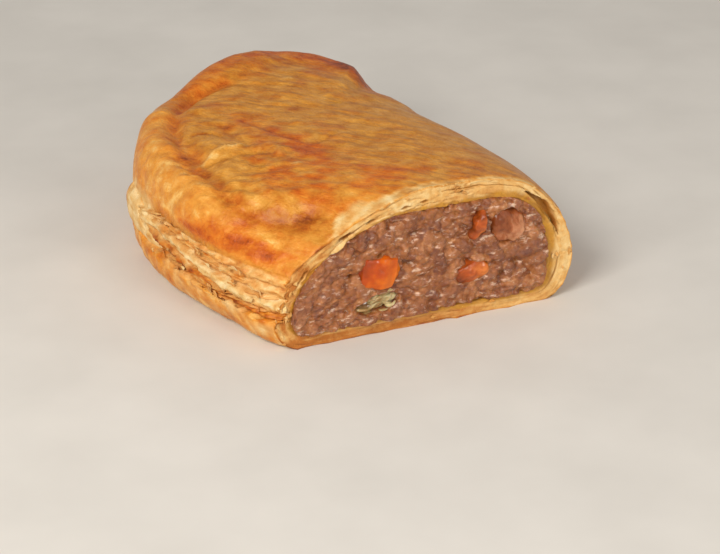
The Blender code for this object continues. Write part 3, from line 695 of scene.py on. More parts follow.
raw = np.maximum(raw, 0.9 * fold_foot)
bake = mix(bake, 0.35 + 0.3 * grain(skin, 3.0, 95), fold_foot)
print(f"bake of the skin from {bake.min():.2f} to {bake.max():.2f}")

# %% paint of the band
band_x, band_z = band[..., 0], band[..., 2]
# the band's lowest strip is painted browner and less raw: partly a browned base, partly painted shade
base_strip_browned_and_shaded = soft_drop(1.5, 4.0, band_z) * (1.0 - 0.7 * soft_step(45.0, 68.0, band_x))
band_raw = 1.0 - 0.25 * base_strip_browned_and_shaded + 0.3 * grain(wall_spot, (6.0, 2.0, 1.0), 76)
band_raw = band_raw * soft_step(0.0, 0.5, into_wall)
band_bake = 0.40 + 0.34 * grain(leaf_spot, (9.0, 1.0, 1.0), 77) + 0.24 * grain(wall_spot, 1.8, 82)
# cracks and pockets between the leaves are painted darker as painted shade
band_bake += 0.20 * pocket_mask + 0.20 * between_leaves * crack_depth + 0.50 * base_strip_browned_and_shaded
band_bake += soft_drop(16.0, 30.0, band_x) * (0.30 + 0.70 * grain(wall_spot, (4.0, 1.6, 1.0), 91))
# the innermost leaves take up the filling's juice, and the layer of them is thicker on the right
from_inside = thick[None, :] - into_wall
inner_layer = mix(1.3, 3.6, soft_step(48.0, 78.0, band_x))
band_soaked_and_shaded = soft_drop(0.4, 1.0, (from_inside + 1.1 * grain(wall_spot, 3.0, 78)) / inner_layer)
# the pockets also get the juice colour, as painted shade
band_soaked_and_shaded = np.maximum(band_soaked_and_shaded, 0.8 * pocket_mask)
print(f"{band_soaked_and_shaded.mean():.0%} of the band is soaked")

# %% helpers that make a mesh piece
def make_object(name, points, faces, paint=None):
    """A mesh object from points in millimetres of the cut's frame, with painted numbers."""
    mesh = bpy.data.meshes.new(name)
    places = (np.asarray(points).reshape(-1, 3) + np.array(SHIFT)) * MM
    mesh.from_pydata(places.tolist(), [], faces)
    for key, values in (paint or {}).items():
        layer = mesh.attributes.new(key, "FLOAT", "POINT")
        layer.data.foreach_set("value", np.clip(np.asarray(values, dtype=np.float32).ravel(), 0.0, 1.0))
    piece = bpy.data.objects.new(name, mesh)
    bpy.context.scene.collection.objects.link(piece)
    return piece


def tidy_mesh(piece, merge=2e-6):
    """Merges doubled points, drops empty faces and turns every face outwards."""
    bm = bmesh.new()
    bm.from_mesh(piece.data)
    bmesh.ops.remove_doubles(bm, verts=bm.verts, dist=merge)
    bmesh.ops.dissolve_degenerate(bm, edges=bm.edges, dist=merge)
    bmesh.ops.recalc_face_normals(bm, faces=bm.faces)
    open_edges = sum(1 for e in bm.edges if not e.is_manifold)
    bm.to_mesh(piece.data)
    bm.free()
    piece.data.shade_smooth()
    triangles = sum(len(p.vertices) - 2 for p in piece.data.polygons)
    print(piece.name, triangles, "triangles,", open_edges, "open edges")


def grid_faces(rows, columns, start=0, closed=False):
    """Faces of a grid of points stored row by row. closed joins its last column to its first."""
    across = columns if closed else columns - 1
    row, column = np.meshgrid(np.arange(rows - 1), np.arange(across), indexing="ij")
    here = start + row * columns + column
    beside = start + row * columns + (column + 1) % columns
    return np.stack([here, beside, beside + columns, here + columns], axis=-1).reshape(-1, 4).tolist()


def gather(parts):
    """One array of points and one list of faces from several pairs of them."""
    faces = []
    start = 0
    for part_points, part_faces in parts:
        faces += [[i + start for i in face] for face in part_faces]
        start += len(part_points)
    return np.concatenate([part_points for part_points, _ in parts]), faces


def join(piece, extra):
    """Makes extra a part of piece."""
    bpy.ops.object.select_all(action="DESELECT")
    extra.select_set(True)
    piece.select_set(True)
    bpy.context.view_layer.objects.active = piece
    bpy.ops.object.join()


# %% the crust
points = np.concatenate([skin.reshape(-1, 3), band.reshape(-1, 3), recess.reshape(-1, 3)])
band_start = skin.shape[0] * skin_stations
faces = grid_faces(skin.shape[0], skin_stations)
faces += grid_faces(BAND_ROWS + len(RECESS_DEPTHS), loop_size, band_start, closed=True)
last_row = len(points) - loop_size
faces.append([last_row + i for i in range(loop_size)])
recess_paint = np.ones(len(RECESS_DEPTHS) * loop_size)
crust = make_object(
    "crust_pastry",
    points,
    faces,
    {
        "bake": np.concatenate([bake.ravel(), band_bake.ravel(), 0.4 * recess_paint]),
        "ruddy": np.concatenate([ruddy.ravel(), np.full(band_bake.size, 0.1), 0.3 * recess_paint]),
        "raw": np.concatenate([raw.ravel(), band_raw.ravel(), 0.2 * recess_paint]),
        "soaked_and_shaded": np.concatenate([np.zeros(bake.size), band_soaked_and_shaded.ravel(), recess_paint]),
    },
)
tidy_mesh(crust)
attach(crust, "root")
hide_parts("crust")

# %% [markdown]
# ## Leaves and flakes
# Puff pastry frays. Thin sheets stick out of the seam, and small flakes hang on its edges and on the
# rim of the cut. Each is a curved grid with a thickness that fades to its edge, and all of them
# are joined to one mesh so that the scene stays light.

# %% one thin sheet
def thin_sheet(middle, thickness):
    """Points and faces of a closed sheet round a grid of points in its middle."""
    rows, columns = middle.shape[:2]
    normal = np.cross(np.gradient(middle, axis=1), np.gradient(middle, axis=0))
    normal /= np.maximum(np.linalg.norm(normal, axis=-1, keepdims=True), 1e-9)
    row = np.minimum(np.arange(rows), np.arange(rows)[::-1])[:, None]
    column = np.minimum(np.arange(columns), np.arange(columns)[::-1])[None, :]
    fade = np.clip(np.minimum(row, column) / 1.5, 0.18, 1.0)[..., None]
    half = 0.5 * thickness * fade * normal
    count = rows * columns
    points = np.concatenate([(middle + half).reshape(-1, 3), (middle - half).reshape(-1, 3)])
    faces = grid_faces(rows, columns)
    faces += [[i + count for i in face[::-1]] for face in grid_faces(rows, columns)]
    ring = list(range(columns)) + [i * columns + columns - 1 for i in range(1, rows)]
    ring += [(rows - 1) * columns + i for i in range(columns - 2, -1, -1)]
    ring += [i * columns for i in range(rows - 2, 0, -1)]
    faces += [[a, a + count, b + count, b] for a, b in zip(ring, ring[1:] + ring[:1])]
    return points, faces


PAINTS = ("bake", "raw", "ruddy")
sheets = []
sheet_paint = {key: [] for key in PAINTS}


def add_sheet(middle, thickness, **paint):
    """Adds a sheet to the leaves. Each kind of paint is a number or a grid of numbers."""
    sheets.append(thin_sheet(middle, thickness))
    for key in PAINTS:
        grid = np.zeros(middle.shape[:2]) + paint[key]
        sheet_paint[key] += [grid.ravel(), grid.ravel()]


# %% leaves along the seam
def at_edge(s, inset):
    """Plan point at a length along the edge from the cut, a given way in from the edge."""
    spot = left_cut + s
    ex, ey = np.interp(spot, place, edge_x), np.interp(spot, place, edge_y)
    dx, dy = np.interp(spot, place, in_x), np.interp(spot, place, in_y)
    return ex + dx * inset, ey + dy * inset


def seam_heights(s):
    """Heights of the lip and of the lid's edge at a length along the edge from the cut."""
    return np.interp(left_cut + s, place, lip), np.interp(left_cut + s, place, lid_edge_up)


# first and last length along the edge, share of the seam's height, inset of the tip, droop, seed
SEAM_LEAVES = (
    (1.0, 60.0, 0.22, 1.7, -0.5, 1), (6.0, 52.0, 0.30, 2.0, -0.3, 2), (0.5, 70.0, 0.52, 1.8, -0.6, 3),
    (3.0, 46.0, 0.66, 2.3, 0.1, 4), (14.0, 58.0, 0.78, 2.2, -0.4, 5), (0.5, 30.0, 0.90, 2.8, -0.5, 6),
    (58.0, 120.0, 0.30, 0.9, -0.6, 7), (66.0, 150.0, 0.62, 0.8, 0.4, 8), (110.0, 170.0, 0.45, 1.0, -0.4, 9),
)
for start, end, height, tip_inset, droop, seed in SEAM_LEAVES:
    s = np.linspace(start, end, int((end - start) / 0.7))[:, None]
    across = np.linspace(0.0, 1.0, 7)[None, :]
    fade = soft_step(0.0, 5.0, s - start) * soft_step(0.0, 5.0, end - s)
    ragged = 1.3 * on_line(s, 6.5, 90 + seed) + 0.9 * on_line(s, 2.3, 110 + seed)
    ragged += 0.4 * on_line(s, 1.2, 130 + seed)
    tip_at = np.clip(tip_inset + ragged + 3.0 * (1.0 - fade), 0.35, 6.0)
    inset = mix(7.0, tip_at, across)
    low, high = seam_heights(s)
    up = low + (high - low) * height + 0.9 * on_line(s, 14.0, 150 + seed)
    up = up + across**2 * (droop + 0.8 * on_line(s, 4.0, 170 + seed))
    px, py = at_edge(s, inset)
    tone = 0.28 + 0.30 * across**3 + 0.25 * on_line(s, 5.0, 190 + seed)
    grid = np.clip(as_points(px, np.maximum(py, 0.2), up), box_low, box_high)
    add_sheet(grid, 0.40, bake=tone, raw=0.85 - 0.4 * across**4, ruddy=0.5)
print(len(sheets), "leaves along the seam")

# %% the pale leaf that flares out at the far left
FLARE_START, FLARE_END = 50.0, 94.0
s = np.linspace(FLARE_START, FLARE_END, 64)[:, None]
across = np.linspace(0.0, 1.0, 16)[None, :]
hump = np.sin(np.pi * np.clip((s - FLARE_START) / (FLARE_END - FLARE_START), 0.0, 1.0)) ** 0.7
hump = hump * (0.75 + 0.25 * soft_step(60.0, 74.0, s))
up = 8.8 + across * (12.6 * hump + 0.9 * on_line(s, 4.0, 210) + 0.6 * on_line(s, 1.7, 213))
belly = np.sin(np.pi * across) ** 0.7
inset = 2.4 - 0.5 * across + 2.2 * (1.0 - hump)
inset = inset - hump * belly * (3.8 + 0.8 * on_line(s, 5.0, 211)) + 0.4 * on_line(s, 1.9, 214)
px, py = at_edge(s, inset)
grid = np.clip(as_points(px, py, up), box_low + 0.3, box_high)
patches = grain(grid, (3.0, 3.0, 2.0), 212)
flare_lines = winding_lines(as_points(s, 0.0, up), (9.0, 1.0, 1.3), 97, 5.0)
behind = soft_step(73.0, 85.0, s)
leaf_bake = 0.20 + 0.55 * patches + 0.25 * flare_lines + 0.25 * behind
add_sheet(grid, 0.6, bake=leaf_bake, raw=0.9 + 0.5 * patches - 0.75 * behind, ruddy=0.2 + 0.3 * behind)
print(f"its edge rises to {up.max():.1f} mm")

# %% flakes
dice = random.Random(7)


def add_flake(centre, direction, face_out, size, curl, **paint):
    """A small torn shard that lies on a surface, its length along direction."""
    outward = Vector(face_out).normalized()
    forward = Vector(direction)
    forward = (forward - outward * forward.dot(outward)).normalized()
    side = outward.cross(forward)
    length, width = size
    lengthwise = np.linspace(-0.5, 0.5, 8)[:, None]
    crosswise = np.linspace(0.0, 1.0, 4)[None, :]
    seed = dice.randrange(9999)
    to_tip = np.abs(2.0 * lengthwise)
    low_edge = -0.5 * (1.0 - to_tip**1.6) + 0.30 * on_line(lengthwise * 9.0, 1.0, seed)
    high_edge = 0.5 * (1.0 - to_tip**1.2) + 0.30 * on_line(lengthwise * 9.0, 1.0, seed + 1)
    wide = width * (low_edge + (high_edge - low_edge) * crosswise)
    bend = curl * length * lengthwise**2 * 2.0 + 0.4 * width * curl * crosswise**2
    long = length * lengthwise
    grid = np.array(centre) + long[..., None] * np.array(forward) + wide[..., None] * np.array(side)
    grid = np.clip(grid + bend[..., None] * np.array(outward), box_low + 0.2, box_high - 0.2)
    add_sheet(grid, 0.20, **paint)


# along the torn seam
for _ in range(70):
    s = dice.uniform(1.0, 100.0) if dice.random() < 0.8 else dice.uniform(100.0, 190.0)
    px, py = at_edge(s, dice.uniform(1.0, 2.4))
    low, high = seam_heights(s)
    ahead, inner = np.array(at_edge(s + 1.0, 2.0)), np.array(at_edge(s, 4.0))
    here = np.array(at_edge(s, 2.0))
    heading = (*(ahead - here), dice.uniform(-0.5, 0.5))
    outward = (*(here - inner), dice.uniform(-0.6, 1.0))
    size = (dice.uniform(1.4, 4.2), dice.uniform(0.6, 1.6))
    add_flake(
        (float(px), float(py), dice.uniform(low - 0.5, high)), heading, outward, size, dice.uniform(0.0, 0.5),
        bake=dice.uniform(0.1, 0.7), raw=dice.uniform(0.3, 1.0), ruddy=0.6,
    )
# along the rim of the cut, most of them where its left end tore
for _ in range(90):
    spot = dice.randrange(loop_size)
    if inner_loop[spot][0] > 40.0 and dice.random() < 0.6:
        continue
    share_in = dice.uniform(0.0, 0.9)
    here = outer_loop[spot] * (1.0 - share_in) + inner_loop[spot] * share_in
    tangent = inner_loop[(spot + 1) % loop_size] - inner_loop[spot - 1]
    if np.linalg.norm(tangent) < 1e-6 or here[2] < 1.2:
        continue
    size = (dice.uniform(1.0, 3.0), dice.uniform(0.4, 1.1))
    outward = (dice.uniform(-0.5, 0.5), -1.0, dice.uniform(-0.5, 0.8))
    add_flake(
        (here[0], dice.uniform(-0.5, 0.4), here[2]), tangent, outward, size, dice.uniform(0.0, 0.5),
        bake=dice.uniform(0.2, 0.7), raw=dice.uniform(0.3, 0.9), ruddy=0.3,
    )
# the lifted pale flake over the gap at the upper left, and a smaller one beside it
add_flake(
    (21.6, -0.6, 28.0), (4.0, -0.4, 3.3), (-0.5, -0.7, 0.5), (6.8, 1.5), 0.45,
    bake=0.34, raw=0.85, ruddy=0.2,
)
add_flake(
    (24.6, -0.5, 30.3), (3.0, -0.2, 1.6), (-0.2, -0.8, 0.4), (3.4, 1.1), 0.45,
    bake=0.45, raw=0.80, ruddy=0.2,
)

points, faces = gather(sheets)
paint = {key: np.concatenate(sheet_paint[key]) for key in PAINTS}
paint["soaked_and_shaded"] = np.zeros(len(points))
leaves = make_object("seam_leaves", points, faces, paint)
tidy_mesh(leaves, 1e-7)
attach(leaves, "root")

# %% [markdown]
# ## The mince
# Cooked mince is a heap of soft crumbs held by gravy. Its face in the cut is one grid, stretched
# over the hollow's outline and pushed towards the knife by more than a thousand rounded crumbs.
# Each crumb keeps its own tone, and fine winding ridges give the strands that a mincer makes.

# %% a grid that fills the hollow
FACE_COLUMNS, FACE_ROWS = 300, 132
# where the face's grid has its corners: lower and upper left, upper and lower right
FACE_CORNERS = ((10.5, 4.6), (10.5, 14.0), (76.5, 28.5), (79.5, 6.5))
face_loop = hollow_loop(-0.25)
corners = [int(np.argmin(np.hypot(*(face_loop - np.array(c)).T))) for c in FACE_CORNERS]


def loop_side(first, last, count):
    """Evenly spaced points of the loop between two of its points."""
    ahead = face_loop[first : last + 1]
    part = ahead if last > first else np.concatenate([face_loop[first:], face_loop[: last + 1]])
    length = np.concatenate([[0.0], np.cumsum(np.hypot(*np.diff(part, axis=0).T))])
    spots = np.linspace(0.0, length[-1], count)
    return np.stack([np.interp(spots, length, part[:, 0]), np.interp(spots, length, part[:, 1])], axis=-1)


side_left = loop_side(corners[0], corners[1], FACE_ROWS)
side_top = loop_side(corners[1], corners[2], FACE_COLUMNS)
side_right = loop_side(corners[2], corners[3], FACE_ROWS)[::-1]
side_bottom = loop_side(corners[3], corners[0], FACE_COLUMNS)[::-1]
right = np.linspace(0.0, 1.0, FACE_COLUMNS)[None, :, None]
up = np.linspace(0.0, 1.0, FACE_ROWS)[:, None, None]
face = (1.0 - up) * side_bottom[None] + up * side_top[None]
face = face + (1.0 - right) * side_left[:, None] + right * side_right[:, None]
face -= (1.0 - right) * (1.0 - up) * side_bottom[0] + right * (1.0 - up) * side_bottom[-1]
face -= (1.0 - right) * up * side_top[0] + right * up * side_top[-1]
face_x, face_z = face[..., 0], face[..., 1]
print(f"face of the mince: {np.ptp(face_x):.0f} by {np.ptp(face_z):.0f} mm")

# %% crumbs push the face forward
flat = as_points(face_x, 0.0, face_z)
crumb_x = face_x[3:-3, 3:-3].ravel()
crumb_z = face_z[3:-3, 3:-3].ravel()
# middles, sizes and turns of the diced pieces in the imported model
DICED = {
    "carrot_large": ((32.6, 2.0, 18.3), (11.2, 8.6, 8.0), 8.0),
    "carrot_upper": ((61.4, 2.2, 27.2), (3.6, 7.6, 7.4), -10.0),
    "carrot_lower": ((59.9, 2.0, 13.2), (10.0, 7.6, 5.0), -22.0),
    "onion_piece": ((32.4, 2.2, 9.2), (12.5, 6.0, 5.2), -8.0),
    "meat_lump": ((70.0, 2.6, 25.4), (10.6, 9.6, 9.8), 20.0),
}
near_dice = np.full(face_x.shape, 9.0)
for centre, size, turn_deg in DICED.values():
    long, tall = turned(face_x - centre[0], face_z - centre[2], -math.radians(turn_deg))
    near_dice = np.minimum(near_dice, np.hypot(long / size[0], tall / size[2]) * 2.0)
near_dice = near_dice - 0.05 + 0.10 * grain(flat, 3.0, 226)
CRUMBS = 1700
face_back = 1.6 + 0.6 * grain(flat, 7.0, 220)
tone = 0.45 + 0.25 * grain(flat, 4.0, 221)
lumpy = 1.0 + 0.45 * grain(flat, 1.2, 222)
crumb_rng = np.random.default_rng(11)
for number in range(CRUMBS):
    pick = crumb_rng.integers(len(crumb_x))
    cx, cz = crumb_x[pick], crumb_z[pick]
    radius = crumb_rng.uniform(0.6, 1.3) if number % 5 else crumb_rng.uniform(1.3, 2.3)
    longer, angle = crumb_rng.uniform(1.0, 2.2), crumb_rng.uniform(0.0, math.pi)
    depth, own_tone = crumb_rng.uniform(0.2, 1.5), crumb_rng.uniform(0.0, 1.0)
    close = (np.abs(face_x - cx) < 2.0 * radius) & (np.abs(face_z - cz) < 2.0 * radius)
    near_rows, near_columns = np.where(close.any(axis=1))[0], np.where(close.any(axis=0))[0]
    area = (slice(near_rows[0], near_rows[-1] + 1), slice(near_columns[0], near_columns[-1] + 1))
    along_crumb, across_crumb = turned(face_x[area] - cx, face_z[area] - cz, angle)
    off_middle = ((along_crumb / (radius * longer)) ** 2 + (across_crumb / radius) ** 2) * lumpy[area]
    front = depth - 0.9 * radius * np.sqrt(np.clip(1.0 - off_middle, 0.0, 1.0))
    in_front = (off_middle < 1.0) & (front < face_back[area])
    face_back[area] = np.where(in_front, front, face_back[area])
    tone[area] = np.where(in_front, own_tone, tone[area])
minced = 0.34 * (1.0 - 2.6 * np.abs(grain(flat, (2.2, 1.2, 1.2), 223)))
minced += 0.10 * grain(flat, 0.8, 224)
face_back = face_back - minced
for _ in range(3):
    beside = face_back[:-2, 1:-1] + face_back[2:, 1:-1] + face_back[1:-1, :-2] + face_back[1:-1, 2:]
    face_back[1:-1, 1:-1] = 0.4 * face_back[1:-1, 1:-1] + 0.15 * beside
face_back = np.maximum(face_back, -1.7)
# gravy lies over the rims of the diced pieces, and their middles stay clear
in_gravy = np.maximum(face_back, 1.6 + 0.8 * grain(flat, 2.0, 225))
face_back = mix(in_gravy, face_back, soft_step(0.78, 1.0, near_dice))
FACE_RIM_BACK = 0.9
face_back[[0, -1], :] = FACE_RIM_BACK
face_back[:, [0, -1]] = FACE_RIM_BACK
# painted shade: the deeper the mince lies behind the cut, the darker it is painted
crevice_shade = soft_step(0.6, 2.2, face_back)
print("mince from", span(face_back), "behind the cut")

# %% the mince as a piece: the grid, a wall behind it and the CAD body for the rest
WALL_BACK, BODY_FRONT = 7.5, 6.0
front_points = as_points(face_x, face_back, face_z)
ring = np.concatenate(
    [front_points[0, :-1], front_points[:-1, -1], front_points[-1, :0:-1], front_points[:0:-1, 0]]
)
ring_behind = ring.copy()
ring_behind[:, 1] = WALL_BACK
ring_size = len(ring)
front_count = FACE_ROWS * FACE_COLUMNS
faces = grid_faces(FACE_ROWS, FACE_COLUMNS)
faces += grid_faces(2, ring_size, front_count, closed=True)
faces.append([front_count + ring_size + i for i in range(ring_size)])
extra = np.ones(2 * ring_size)
mince = make_object(
    "filling_mince",
    np.concatenate([front_points.reshape(-1, 3), ring, ring_behind]),
    faces,
    {
        "tone": np.concatenate([tone.ravel(), 0.4 * extra]),
        "crevice_shade": np.concatenate([crevice_shade.ravel(), extra]),
    },
)
tidy_mesh(mince)
bpy.ops.object.select_all(action="DESELECT")
body = bpy.data.objects["filling"].copy()
body.data = body.data.copy()
bpy.context.scene.collection.objects.link(body)
body.select_set(True)
bpy.context.view_layer.objects.active = body
bpy.ops.object.mode_set(mode="EDIT")
bpy.ops.mesh.select_all(action="SELECT")
bpy.ops.mesh.remove_doubles(threshold=1e-6)
cut_behind = (0.0, (BODY_FRONT + SHIFT.y) * MM, 0.0)
bpy.ops.mesh.bisect(plane_co=cut_behind, plane_no=(0.0, 1.0, 0.0), use_fill=True, clear_inner=True)
bpy.ops.object.mode_set(mode="OBJECT")
body.data.materials.clear()
join(mince, body)
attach(mince, "root")
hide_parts("filling")
print("mince:", len(mince.data.polygons), "faces with its body")

# %% [markdown]
# ## Diced vegetables and the lump of meat
# Each piece starts as a cube that is cut into a fine grid. Its corners are drawn in towards a ball,
# as cooking wears a dice round, and a random field gives dents and cut marks. The middle, size
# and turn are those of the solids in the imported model, and some are then stretched or leaned over.

# %% diced pieces
def diced(node, roundness, rough, seed, wider=1.0, taller=1.0, lean=0.0, sunk=0.0):
    """A worn dice that stands for a CAD node."""
    centre, size, turn_deg = DICED[node]
    bpy.ops.object.select_all(action="DESELECT")
    bpy.ops.mesh.primitive_cube_add(size=2.0, location=(0.0, 0.0, 0.0))
    piece = bpy.context.object
    piece.name = piece.data.name = node + "_dice"
    bpy.ops.object.mode_set(mode="EDIT")
    bpy.ops.mesh.subdivide(number_cuts=34)
    bpy.ops.object.mode_set(mode="OBJECT")
    cube = np.array([v.co for v in piece.data.vertices])
    ball = cube / np.linalg.norm(cube, axis=1, keepdims=True) * 1.15
    form = mix(cube, ball, roundness)
    form *= 1.0 + 0.22 * grain(form, 0.9, seed)[:, None]
    # painted light: each piece is painted lighter towards its right and lower side, darker towards its top
    painted_glow = 0.5 + 0.55 * form[:, 0] - 0.20 * form[:, 2]
    form = form * np.array(size) / 2.0
    outward = form / np.maximum(np.linalg.norm(form, axis=1, keepdims=True), 1e-6)
    dents = rough * (grain(form, 3.0, seed + 1) + 0.4 * grain(form, 1.0, seed + 2)) - 0.4 * rough
    form = form + outward * dents[:, None]
    form[:, 0] *= wider
    form[:, 2] *= taller
    form[:, 0] += lean * form[:, 2]
    form[:, 1] += sunk
    form[:, 0], form[:, 2] = turned(form[:, 0], form[:, 2], math.radians(turn_deg))
    inside = np.clip(form + np.array(centre), box_low + 0.1, box_high - 0.1)
    piece.data.vertices.foreach_set("co", ((inside + np.array(SHIFT)) * MM).ravel())
    layer = piece.data.attributes.new("painted_glow", "FLOAT", "POINT")
    layer.data.foreach_set("value", np.clip(painted_glow, 0.0, 1.0).astype(np.float32))
    piece.data.update()
    bpy.ops.object.shade_smooth()
    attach(piece, "root")
    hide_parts(node)
    print(piece.name, "at", [round(c, 1) for c in centre])
    return piece


carrot_bright = diced("carrot_large", 0.60, 0.25, 1, taller=1.18, lean=0.16, sunk=0.5)
carrots_in_gravy = [
    diced("carrot_upper", 0.85, 0.50, 4, wider=1.35, taller=1.15, lean=0.30, sunk=-0.6),
    diced("carrot_lower", 0.75, 0.50, 7, wider=1.06, taller=1.28, sunk=0.2),
]
onion = diced("onion_piece", 0.80, 0.60, 9, sunk=0.9)
lump = diced("meat_lump", 0.90, 0.50, 12, wider=1.10, taller=1.08, sunk=0.2)

# %% strands of the onion
STRANDS = 15
strand_rng = np.random.default_rng(5)
strand_sheets = []
centre, _, turn_deg = DICED["onion_piece"]
lengthwise = np.linspace(-1.0, 1.0, 18)[:, None]
crosswise = np.linspace(-0.5, 0.5, 6)[None, :]
for number in range(STRANDS):
    half_long = strand_rng.uniform(0.9, 2.6)
    middle = strand_rng.uniform(-4.0, 4.0)
    bow, width = strand_rng.uniform(-0.7, 0.7), strand_rng.uniform(0.7, 1.4)
    depth, slope = strand_rng.uniform(-1.6, -0.5), strand_rng.uniform(-0.7, 0.7)
    long = middle + half_long * lengthwise
    tall = 0.42 * (number - 7.0) + bow * lengthwise**2 + width * crosswise * (1.0 - 0.7 * lengthwise**4)
    tall = tall + slope * (long - middle)
    back = depth + 0.7 * lengthwise**2 + 1.76 * crosswise**2 + 0.25 * on_line(long, 2.0, 230 + number)
    right, up = turned(long, tall, math.radians(turn_deg))
    strand_sheets.append(thin_sheet(as_points(centre[0] + right, back + 0.9, centre[2] + up), 0.5))
points, faces = gather(strand_sheets)
# the strands get a high value of the painted light, so they stay at the pale end of their tones
strands = make_object("onion_strands", points, faces, {"painted_glow": np.full(len(points), 0.8)})
tidy_mesh(strands)
join(onion, strands)

# %% [markdown]
# ## Materials
# Every material is a small recipe of nodes. Colour comes from the paint on the vertices and from
# fields in the object's own space, so it sticks to the form from every side and at every distance.

# %% short calls for node recipes
def linear(r, g, b):
    """A colour as it looks on screen, turned into the light it reflects."""
    return tuple(c / 12.92 if c <= 0.04045 else ((c + 0.055) / 1.055) ** 2.4 for c in (r, g, b)) + (1.0,)


class Recipe:
    """A material under construction: short calls that add and wire nodes."""

    def __init__(self, name):
        self.material = bpy.data.materials.new(name)
        self.material.use_nodes = True
        self.tree = self.material.node_tree
        self.shader = self.tree.nodes["Principled BSDF"]
        self.place = self.add("ShaderNodeTexCoord").outputs["Object"]

    def plug(self, socket, value):
        """Wires a field to a socket, or sets the socket to a plain value."""
        if isinstance(value, bpy.types.NodeSocket):
            self.tree.links.new(value, socket)
        else:
            socket.default_value = value

    def add(self, kind, wires=None, **settings):
        """A new node with its settings, and its inputs wired or set."""
        made = self.tree.nodes.new(kind)
        for key, value in settings.items():
            setattr(made, key, value)
        for key, value in (wires or {}).items():
            self.plug(made.inputs[key], value)
        return made

    def paint(self, name):
        """The numbers of that name on the vertices."""
        return self.add("ShaderNodeAttribute", attribute_name=name).outputs["Fac"]

    def noise(self, wave_mm, detail=3.0, rough=0.5, stretch=None, turn=0.0):
        """A random field, turned round the upright and then stretched if asked."""
        vector = self.place
        if stretch:
            turned_place = self.add("ShaderNodeMapping", {"Vector": vector, "Rotation": (0.0, 0.0, turn)})
            wires = {"Vector": turned_place.outputs[0], "Scale": stretch}
            vector = self.add("ShaderNodeMapping", wires).outputs[0]
        wires = {"Vector": vector, "Scale": 1000.0 / wave_mm, "Detail": detail, "Roughness": rough}
        return self.add("ShaderNodeTexNoise", wires).outputs["Fac"]

    def cells(self, size_mm):
        """Distance to the middle of the nearest of many random cells."""
        wires = {"Vector": self.place, "Scale": 1000.0 / size_mm}
        return self.add("ShaderNodeTexVoronoi", wires).outputs["Distance"]

    def math(self, operation, a, b=0.0, c=0.0):
        return self.add("ShaderNodeMath", {0: a, 1: b, 2: c}, operation=operation).outputs[0]

    def times(self, value, factor):
        return self.math("MULTIPLY", value, factor)

    def around(self, value, amount):
        """A field of 0 to 1 turned into one of -amount to amount."""
        return self.math("MULTIPLY_ADD", value, 2.0 * amount, -amount)

    def total(self, *values):
        """The sum of some fields."""
        result = values[0]
        for value in values[1:]:
            result = self.math("ADD", result, value)
        return result

    def spread(self, value, low, high, to_low=0.0, to_high=1.0):
        """A field whose range from low to high is stretched to another range."""
        wires = {0: value, 1: low, 2: high, 3: to_low, 4: to_high}
        return self.add("ShaderNodeMapRange", wires, clamp=True).outputs[0]

    def ramp(self, value, positions, colours):
        """Colours at some positions of a field, and a blend between them."""
        made = self.add("ShaderNodeValToRGB", {0: value})
        elements = made.color_ramp.elements
        while len(elements) < len(positions):
            elements.new(0.5)
        for element, position, colour in zip(elements, positions, colours):
            element.position, element.color = position, linear(*colour)
        return made.outputs[0]

    def blend(self, share, a, b):
        """Colour a where share is 0, colour b where it is 1."""
        made = self.add("ShaderNodeMix", data_type="RGBA", blend_type="MIX")
        for number, value in ((0, share), (6, a), (7, b)):
            self.plug(made.inputs[number], value)
        return made.outputs[2]

    def bump(self, heights, distance_mm, strength, socket="Normal"):
        """Fine relief that only the light sees."""
        wires = {"Height": heights, "Distance": distance_mm * MM, "Strength": strength}
        self.wire(socket, self.add("ShaderNodeBump", wires).outputs[0])

    def wire(self, socket, value):
        self.tree.links.new(value, self.shader.inputs[socket])

    def set(self, **values):
        for key, value in values.items():
            self.shader.inputs[key.replace("_", " ")].default_value = value


# %% baked pastry
ROLL_TURN = math.atan2(-ROLLED[1], ROLLED[0])
pastry = Recipe("baked_pastry")
fibre = pastry.noise(3.4, 4.0, 0.62, stretch=(0.26, 1.4, 1.0), turn=ROLL_TURN)
mottle = pastry.noise(3.4, 5.0, 0.66)
speck = pastry.noise(0.8, 2.0, 0.5)
hue = pastry.noise(2.6, 4.0, 0.6, stretch=(0.55, 1.1, 1.0), turn=ROLL_TURN)
# thin leaves that end in steps: a broad field cut into terraces
terrain = pastry.noise(9.0, 4.0, 0.55, stretch=(0.5, 1.3, 1.0), turn=ROLL_TURN)
terrace = pastry.math("FRACT", pastry.times(terrain, 11.0))
shift = pastry.total(pastry.around(fibre, 0.18), pastry.around(mottle, 0.42), pastry.around(speck, 0.10))
level = pastry.total(pastry.paint("bake"), pastry.total(shift, pastry.around(terrace, 0.05)))
oven_steps = (0.0, 0.20, 0.50, 0.75, 1.0)
golden = pastry.ramp(
    level,
    oven_steps,
    ((0.94, 0.75, 0.43), (0.88, 0.62, 0.26), (0.78, 0.51, 0.17), (0.69, 0.39, 0.10), (0.50, 0.23, 0.05)),
)
reddish = pastry.ramp(
    level,
    oven_steps,
    ((0.94, 0.70, 0.37), (0.89, 0.57, 0.21), (0.83, 0.45, 0.12), (0.73, 0.33, 0.06), (0.48, 0.19, 0.04)),
)
floury = pastry.ramp(
    level,
    (0.0, 0.25, 0.5, 1.0),
    ((0.94, 0.83, 0.62), (0.90, 0.75, 0.50), (0.86, 0.66, 0.38), (0.72, 0.44, 0.18)),
)
juice_and_shade_colour = pastry.ramp(mottle, (0.3, 0.7), ((0.60, 0.37, 0.08), (0.80, 0.57, 0.17)))
warmth = pastry.math("ADD", pastry.paint("ruddy"), pastry.around(hue, 0.55))
colour = pastry.blend(pastry.spread(warmth, 0.0, 1.0), golden, reddish)
colour = pastry.blend(pastry.spread(pastry.paint("raw"), 0.1, 0.9), colour, floury)
